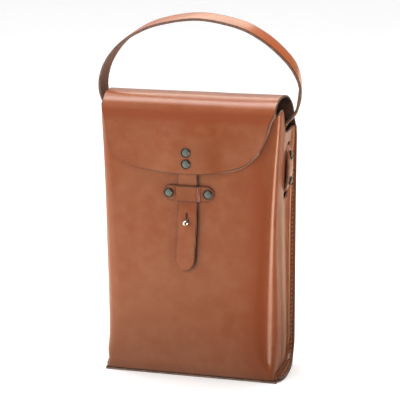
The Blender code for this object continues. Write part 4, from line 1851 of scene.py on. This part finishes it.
@dataclass
class Rivets:
    """Capped rivets: a rolled rim round a slightly domed middle, a shank and a washer behind the leather."""

    cap: float = 4.8 * MM
    cap_top: float = 1.6 * MM
    washer: float = 3.6 * MM
    washer_height: float = 0.7 * MM
    washer_rim: tuple[float, float] = (0.5 * MM, 0.15 * MM)
    washer_flat: float = 0.94
    shank: float = 1.4 * MM
    rim_height: float = 1.25 * MM
    rim_roll: Table = ((0.79, 0.78), (0.84, 0.96), (0.89, 0.98), (0.94, 0.86), (0.98, 0.58), (1.0, 0.3))
    groove: float = 0.74
    groove_height: float = 0.66
    middle_height: float = 1.35 * MM
    middle_dome: float = 0.16
    worn_share: float = 0.72
    slope_span: float = 4 * MM

    def profile(self, depth: float) -> tuple[tuple[float, float], ...]:
        """The rivet's outline.

        Args:
            depth: from the cap's foot to the washer's back.

        Returns:
            Radii and heights above the cap's foot, from the top's middle to the back's middle.
        """
        groove = self.groove * self.cap
        rim = [(self.cap * share, self.rim_height * height) for share, height in self.rim_roll]
        middle = [
            (groove * share, self.middle_height * (1 - self.middle_dome * share**2))
            for share in spread(0, 0.92, 5)
        ]
        back = self.washer * self.washer_flat
        front, rear = self.washer_rim
        return (
            *middle, (groove, self.middle_height * self.groove_height), *rim, (self.cap, 0.0),
            (self.shank, 0.0), (self.shank, self.washer_height - depth), (back, self.washer_height - depth),
            (self.washer, front - depth), (self.washer, rear - depth), (back, -depth), (0.0, -depth),
        )

    def build(self, wardrobe: Wardrobe) -> None:
        """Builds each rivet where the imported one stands.

        Args:
            wardrobe: the finishes.
        """
        for name in ("flap_rivet_upper", "flap_rivet_lower", "keeper_rivet_left", "keeper_rivet_right"):
            low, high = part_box(name)
            middle = (low + high) / 2
            foot = Vector((middle.x, low.y + self.cap_top, middle.z))
            self.seat(name, foot, FRONTWARD, high.y - low.y - self.cap_top, wardrobe)
        for side in Side:
            for level in ("upper", "lower"):
                name = f"strap_rivet_{side.word}_{level}"
                self.seat(name, *self.side_place(side, name), wardrobe)

    def side_place(self, side: Side, name: str) -> tuple[Vector, Vector, float]:
        """Foot, facing and depth of a rivet in a side, which leans with the strap.

        Args:
            side: the side that it is in.
            name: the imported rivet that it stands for.

        Returns:
            The cap's foot, the way that it faces, and its depth to the washer's back.
        """
        low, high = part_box(name)
        middle = (low + high) / 2
        facing = Vector((side.value, 0, self.strap_slope(middle.z))).normalized()
        reaches = [(vert.co - middle).dot(facing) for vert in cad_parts[name].data.vertices]
        foot = middle + facing * (max(reaches) - self.cap_top)
        return foot, facing, max(reaches) - min(reaches) - self.cap_top

    def strap_slope(self, z: float) -> float:
        """How much the strap's outer face looks up at a height.

        Args:
            z: the height.

        Returns:
            The rise for each step outwards.
        """
        rows = sorted(WOVEN_END)
        span = self.slope_span
        low, high = (FORM.wall(level) + look_up(rows, level / MM) * MM for level in (z - span, z + span))
        return (low - high) / (2 * span)

    def seat(self, name: str, foot: Vector, facing: Vector, depth: float, wardrobe: Wardrobe) -> None:
        """Makes one rivet and puts it on the bag.

        Args:
            name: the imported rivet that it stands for.
            foot: middle of the cap's foot.
            facing: the way that the cap faces.
            depth: from the cap's foot to the washer's back.
            wardrobe: the finishes.
        """
        worn = self.worn_share * self.cap
        piece = Turned(f"capped_{name}", self.profile(depth), foot, facing, worn_radius=worn)
        dress(piece.make(wardrobe.rivet), Slot.RIVET, name)


@dataclass
class BallStud:
    """The ball stud that the tongue buttons on."""

    ball: float = 3.2 * MM
    ball_foot: float = 0.86
    ball_steps: int = 22
    neck: float = 1.5 * MM
    neck_top: float = 0.95
    collar: float = 3.6 * MM
    collar_height: float = 1.5 * MM
    collar_edge: float = 0.3 * MM
    collar_flat: float = 0.9
    screw: float = 3.4 * MM
    screw_head: float = 1 * MM
    screw_edge: float = 0.25 * MM
    screw_flat: float = 0.92
    shank: float = 1.4 * MM
    play: float = 0.6 * MM

    def profile(self, length: float) -> tuple[tuple[float, float], ...]:
        """The stud's outline.

        Args:
            length: from the screw's back to the top of the ball.

        Returns:
            Radii and heights above the screw's back, from the ball down.
        """
        middle = length - self.ball
        ball = arc((0, middle), self.ball, math.pi / 2, -math.asin(self.ball_foot), self.ball_steps)
        ball[0] = (0.0, length)
        front = self.screw_head + self.play + FORM.body_leather
        collar_top = front + self.collar_height
        return (
            *ball, (self.neck, middle - self.ball * self.neck_top), (self.neck, collar_top),
            (self.collar * self.collar_flat, collar_top), (self.collar, collar_top - self.collar_edge),
            (self.collar, front), (self.shank, front), (self.shank, self.screw_head),
            (self.screw, self.screw_head), (self.screw, self.screw_edge), (self.screw * self.screw_flat, 0.0),
            (0.0, 0.0),
        )

    def build(self, wardrobe: Wardrobe) -> bpy.types.Object:
        """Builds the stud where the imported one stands.

        Args:
            wardrobe: the finishes.

        Returns:
            The finished piece.
        """
        low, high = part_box("ball_stud")
        middle = (low + high) / 2
        foot = Vector((middle.x, high.y, middle.z))
        profile = self.profile(high.y - low.y)
        piece = Turned("polished_ball_stud", profile, foot, FRONTWARD, worn_radius=self.ball)
        return dress(piece.make(wardrobe.stud), Slot.STUD, "ball_stud")


@dataclass
class SeamStitches:
    """Saddle stitches along both seams, on the shell's turned edge and on the strip behind it."""

    pitch: float = 4.8 * MM
    length: float = 3.9 * MM
    thread: float = 0.95 * MM
    inset: float = 3 * MM
    first: int = 2
    seam_length: float = 299 * MM
    ahead: float = 0.5 * MM
    slant: float = 7.0
    sunk: float = 0.12 * MM
    groove: float = 0.2 * MM
    segments: tuple[int, int] = (8, 6)

    def spots(self, side: Side, behind: bool) -> list[tuple[Vector, Vector, Vector]]:
        """Middle, direction and outward normal of each stitch.

        Args:
            side: the side of the bag.
            behind: whether they lie on the strip's outer face and not on the shell's edge.

        Returns:
            One tuple for each stitch.
        """
        found = []
        last = int(self.seam_length / self.pitch)
        for index in range(self.first, last):
            run = index * self.pitch
            here, ahead = (self.on_seam(side, value, behind) for value in (run, run + self.ahead))
            if here.z < self.thread:
                continue
            along = (ahead - here).normalized()
            out = Vector((0, along.z, -along.y)) if behind else Vector((0, -along.z, along.y))
            found.append((here, along, out))
        return found

    def on_seam(self, side: Side, run: float, behind: bool) -> Vector:
        """A point on the stitch line.

        Args:
            side: the side of the bag.
            run: the run along the seam from the lower front corner.
            behind: whether it lies on the strip's outer face and not on the shell's edge.

        Returns:
            The point.
        """
        y, z = FORM.seam_point(run)
        half = FORM.seam_edge(y) - self.inset
        point = Vector((side.value * half + FORM.push(y, z), y, z))
        if not behind:
            return point + self.inward(run) * -self.groove
        return point - self.inward(run) * (FORM.body_leather + FORM.seat + FORM.flap_leather)

    def inward(self, run: float) -> Vector:
        """The way from the seam towards the inside of the bag.

        Args:
            run: the run along the seam from the lower front corner.

        Returns:
            A unit direction.
        """
        here = Vector((0, *FORM.seam_point(run)))
        ahead = Vector((0, *FORM.seam_point(run + self.ahead)))
        along = (ahead - here).normalized()
        return Vector((0, -along.z, along.y))

    def stitch(self, body: bmesh.types.BMesh, spot: tuple[Vector, Vector, Vector], lean: float) -> None:
        """Adds one stitch: a plump bead of thread, slanted a little across the seam.

        Args:
            body: the mesh that it joins.
            spot: its middle, direction and outward normal.
            lean: its slant in degrees.
        """
        middle, along, out = spot
        beside = along.cross(out)
        angle = math.radians(lean)
        along, beside = (
            along * math.cos(angle) + beside * math.sin(angle),
            beside * math.cos(angle) - along * math.sin(angle),
        )
        turn = Matrix((along, beside, out)).transposed().to_4x4()
        size = Matrix.Diagonal((self.length / 2, self.thread / 2, self.thread / 2, 1))
        place = Matrix.Translation(middle + out * (self.thread / 2 - self.sunk * 2) + FORM.place)
        around, along_it = self.segments
        bmesh.ops.create_uvsphere(body, u_segments=around, v_segments=along_it, radius=1,
                                  matrix=place @ turn @ size)

    def build(self, wardrobe: Wardrobe) -> None:
        """Builds the stitches of each seam and puts them on the bag.

        Args:
            wardrobe: the finishes.
        """
        for side in Side:
            for behind in (False, True):
                body = bmesh.new()
                for spot in self.spots(side, behind):
                    self.stitch(body, spot, self.slant * side.value)
                where = "back" if behind else "front"
                piece = piece_from(body, f"stitches_{side.word}_{where}", [wardrobe.thread])
                dress(piece, Slot.BODY)


WARM: Colour = (1.0, 0.86, 0.68)


@dataclass(frozen=True)
class Softbox:
    """A rectangular soft light that faces the bag."""

    name: str
    place: tuple[float, float, float]
    size: tuple[float, float]
    power: float
    tint: Colour = (1.0, 1.0, 1.0)
    lights_dull: bool = True
    shows_in_gloss: bool = True
    bag_middle: float = 0.16

    def hang(self) -> None:
        """Hangs the light in its place, turned to the bag's middle."""
        data = bpy.data.lights.new(self.name, "AREA")
        data.shape = "RECTANGLE"
        data.size, data.size_y = self.size
        data.energy = self.power
        data.color = self.tint
        made = bpy.data.objects.new(self.name, data)
        bpy.context.collection.objects.link(made)
        made.location = self.place
        made.visible_camera = False
        made.visible_diffuse = self.lights_dull
        made.visible_glossy = self.shows_in_gloss
        towards = Vector(self.place) - Vector((0, 0, self.bag_middle))
        made.rotation_euler = towards.to_track_quat("Z", "Y").to_euler()


@dataclass
class Studio:
    """A pale floor, soft lights and the camera."""

    azimuth: float = 14.47
    elevation: float = 13.86
    distance: float = 1.5
    focal_pixels: float = 1508.0
    frame_pixels: float = 400.0
    sensor: float = 36.0
    aim: tuple[float, float] = (12.2 * MM, 186.9 * MM)
    surround: float = 0.6
    surround_dark: float = 0.15
    dark_azimuth: float = 85.0
    dark_fade: tuple[float, float] = (-0.1, 0.25)
    sun_energy: float = 1.5
    sun_degrees: float = 70
    sun_from: tuple[float, float, float] = (-0.15, 0.25, 1)
    floor_size: float = 12
    floor_white: float = 0.95
    floor_roughness: float = 0.9
    floor_glow: float = 0.15
    right_crease: tuple[float, float] = (85 * MM, 5 * MM)
    near_fade: tuple[float, float, float, float] = (0.12, 0.5, 0.5, 1.15)
    far_fade: tuple[float, float, float, float] = (0.7, 1.05, 1.0, 0.65)
    mirror_stops: tuple[tuple[float, float], ...] = (
        (-180.0, 1.0), (-130.0, 1.2), (-100.0, 2.4), (-60.0, 2.2), (-30.0, 1.2), (-14.0, 1.2), (-3.0, 0.1),
        (57.0, 0.15), (65.0, 12.0), (82.0, 12.0), (90.0, 0.15), (134.0, 0.15), (141.0, 1.6), (148.0, 1.6),
        (154.0, 0.15), (163.0, 0.15), (170.0, 1.7), (180.0, 1.0),
    )
    lamps: tuple[Softbox, ...] = (
        Softbox("top_softbox", (-0.1, 0.2, 1.6), (1.3, 0.55), 11),
        Softbox("left_softbox", (-1.5, -1.3, 1.1), (1.1, 1.1), 13),
        Softbox("fold_glow", (-0.15, -0.1, 1.6), (1.6, 0.9), 8, WARM, lights_dull=False),
        Softbox("rear_strip", (0.38, 1.71, 0.4), (0.25, 0.8), 0.9, WARM),
        Softbox("right_softbox", (1.35, -0.25, 1.25), (1.1, 1.1), 11, shows_in_gloss=False),
        Softbox("rear_top_softbox", (-0.38, 1.25, 1.25), (1.3, 0.4), 5.5, WARM),
    )

    def build(self) -> None:
        """Sets up the floor, the lights and the camera, with plain colours that keep the floor white."""
        self.floor()
        self.world()
        self.camera()
        bpy.context.scene.view_settings.view_transform = "Standard"
        for lamp in self.lamps:
            lamp.hang()
        self.sun()

    def floor(self) -> None:
        """A wide pale floor, which glossy rays see as a painted reflection: dark on the right, bright bands.
        """
        body = bmesh.new()
        bmesh.ops.create_grid(body, x_segments=2, y_segments=2, size=self.floor_size)
        board = NodeBoard("pale_floor")
        board.set("Base Color", (self.floor_white, self.floor_white, self.floor_white, 1))
        board.set("Roughness", self.floor_roughness)
        board.set("Emission Color", (1, 1, 1, 1))
        board.set("Emission Strength", self.floor_glow)
        glow = board.add("ShaderNodeEmission", Color=(*WARM, 1.0), Strength=self.mirrored(board))
        output = board.tree.nodes["Material Output"]
        blend = board.tree.nodes.new("ShaderNodeMixShader")
        board.feed(blend.inputs[0], board.add("ShaderNodeLightPath").outputs["Is Glossy Ray"])
        board.feed(blend.inputs[1], board.shader.outputs["BSDF"])
        board.feed(blend.inputs[2], glow.outputs["Emission"])
        board.feed(output.inputs["Surface"], blend.outputs["Shader"])
        made = piece_from(body, "floor", [board.material])

    def mirrored(self, board: NodeBoard) -> bpy.types.NodeSocket:
        """Brightness of the floor's painted reflection, by the direction from the bag's right crease.

        Args:
            board: the floor's material.

        Returns:
            The brightness.
        """
        split = board.add("ShaderNodeSeparateXYZ", Vector=board.place())
        corner = Vector((*self.right_crease, 0)) + FORM.place
        across = board.math("SUBTRACT", split.outputs["X"], corner.x)
        ahead = board.math("SUBTRACT", corner.y, split.outputs["Y"])
        turn = board.math("DIVIDE", board.math("ARCTAN2", across, ahead), math.pi)
        ramp = board.tree.nodes.new("ShaderNodeValToRGB")
        board.feed(ramp.inputs["Fac"], board.math("MULTIPLY", board.math("ADD", turn, 1.0), 0.5))
        stops = ramp.color_ramp.elements
        for index, (degrees, brightness) in enumerate(self.mirror_stops):
            stop = stops[index] if index < 2 else stops.new(1.0)
            stop.position = (degrees + 180) / 360
            stop.color = (brightness, brightness, brightness, 1)
        squares = [board.math("MULTIPLY", value, value) for value in (across, ahead)]
        far = board.math("SQRT", board.math("ADD", *squares))
        near_fade, far_fade = (board.between(far, *step) for step in (self.near_fade, self.far_fade))
        return board.math("MULTIPLY", ramp.outputs["Color"], board.math("MULTIPLY", near_fade, far_fade))

    def world(self) -> None:
        """A white surround, dark on the right, which keeps the leather deep beside its highlights."""
        world = bpy.data.worlds.new("surround")
        world.use_nodes = True
        tree = world.node_tree
        background = tree.nodes["Background"]
        background.inputs["Color"].default_value = (1, 1, 1, 1)
        place = tree.nodes.new("ShaderNodeTexCoord")
        facing = tree.nodes.new("ShaderNodeVectorMath")
        facing.operation = "DOT_PRODUCT"
        turn = math.radians(self.dark_azimuth)
        facing.inputs[1].default_value = (math.sin(turn), -math.cos(turn), 0)
        fade = tree.nodes.new("ShaderNodeMapRange")
        fade.interpolation_type = "SMOOTHSTEP"
        levels = (*self.dark_fade, self.surround, self.surround * self.surround_dark)
        for name, level in zip(("From Min", "From Max", "To Min", "To Max"), levels):
            fade.inputs[name].default_value = level
        tree.links.new(place.outputs["Generated"], facing.inputs[0])
        tree.links.new(facing.outputs["Value"], fade.inputs["Value"])
        tree.links.new(fade.outputs["Result"], background.inputs["Strength"])
        bpy.context.scene.world = world

    def sun(self) -> None:
        """A very soft light from high up, even all over the floor."""
        data = bpy.data.lights.new("ceiling", "SUN")
        data.energy = self.sun_energy
        data.angle = math.radians(self.sun_degrees)
        made = bpy.data.objects.new("ceiling", data)
        bpy.context.collection.objects.link(made)
        made.rotation_euler = Vector(self.sun_from).to_track_quat("Z", "Y").to_euler()

    def camera(self) -> None:
        """The camera at the photograph's angle."""
        data = bpy.data.cameras.new("camera")
        data.sensor_width = self.sensor
        data.lens = self.sensor * self.focal_pixels / self.frame_pixels
        made = bpy.data.objects.new("camera", data)
        bpy.context.collection.objects.link(made)
        turn, rise = math.radians(self.azimuth), math.radians(self.elevation)
        back = Vector((math.sin(turn) * math.cos(rise), -math.cos(turn) * math.cos(rise), math.sin(rise)))
        aim = Vector((self.aim[0], 0, self.aim[1])) + FORM.place
        made.location = aim + back * self.distance
        made.rotation_euler = back.to_track_quat("Z", "Y").to_euler()
        bpy.context.scene.camera = made


def main() -> None:
    """Builds the bag's pieces in order, then the studio."""
    logging.basicConfig(level=logging.INFO, format="%(message)s")
    wardrobe = Wardrobe.stocked()
    for part in (BodyShell(), BackAndFlap(), Tongue(), Keeper(), HandleStrap(), Rivets(), BallStud(),
                 SeamStitches()):
        part.build(wardrobe)
    Studio().build()


if __name__ == "__main__":
    main()
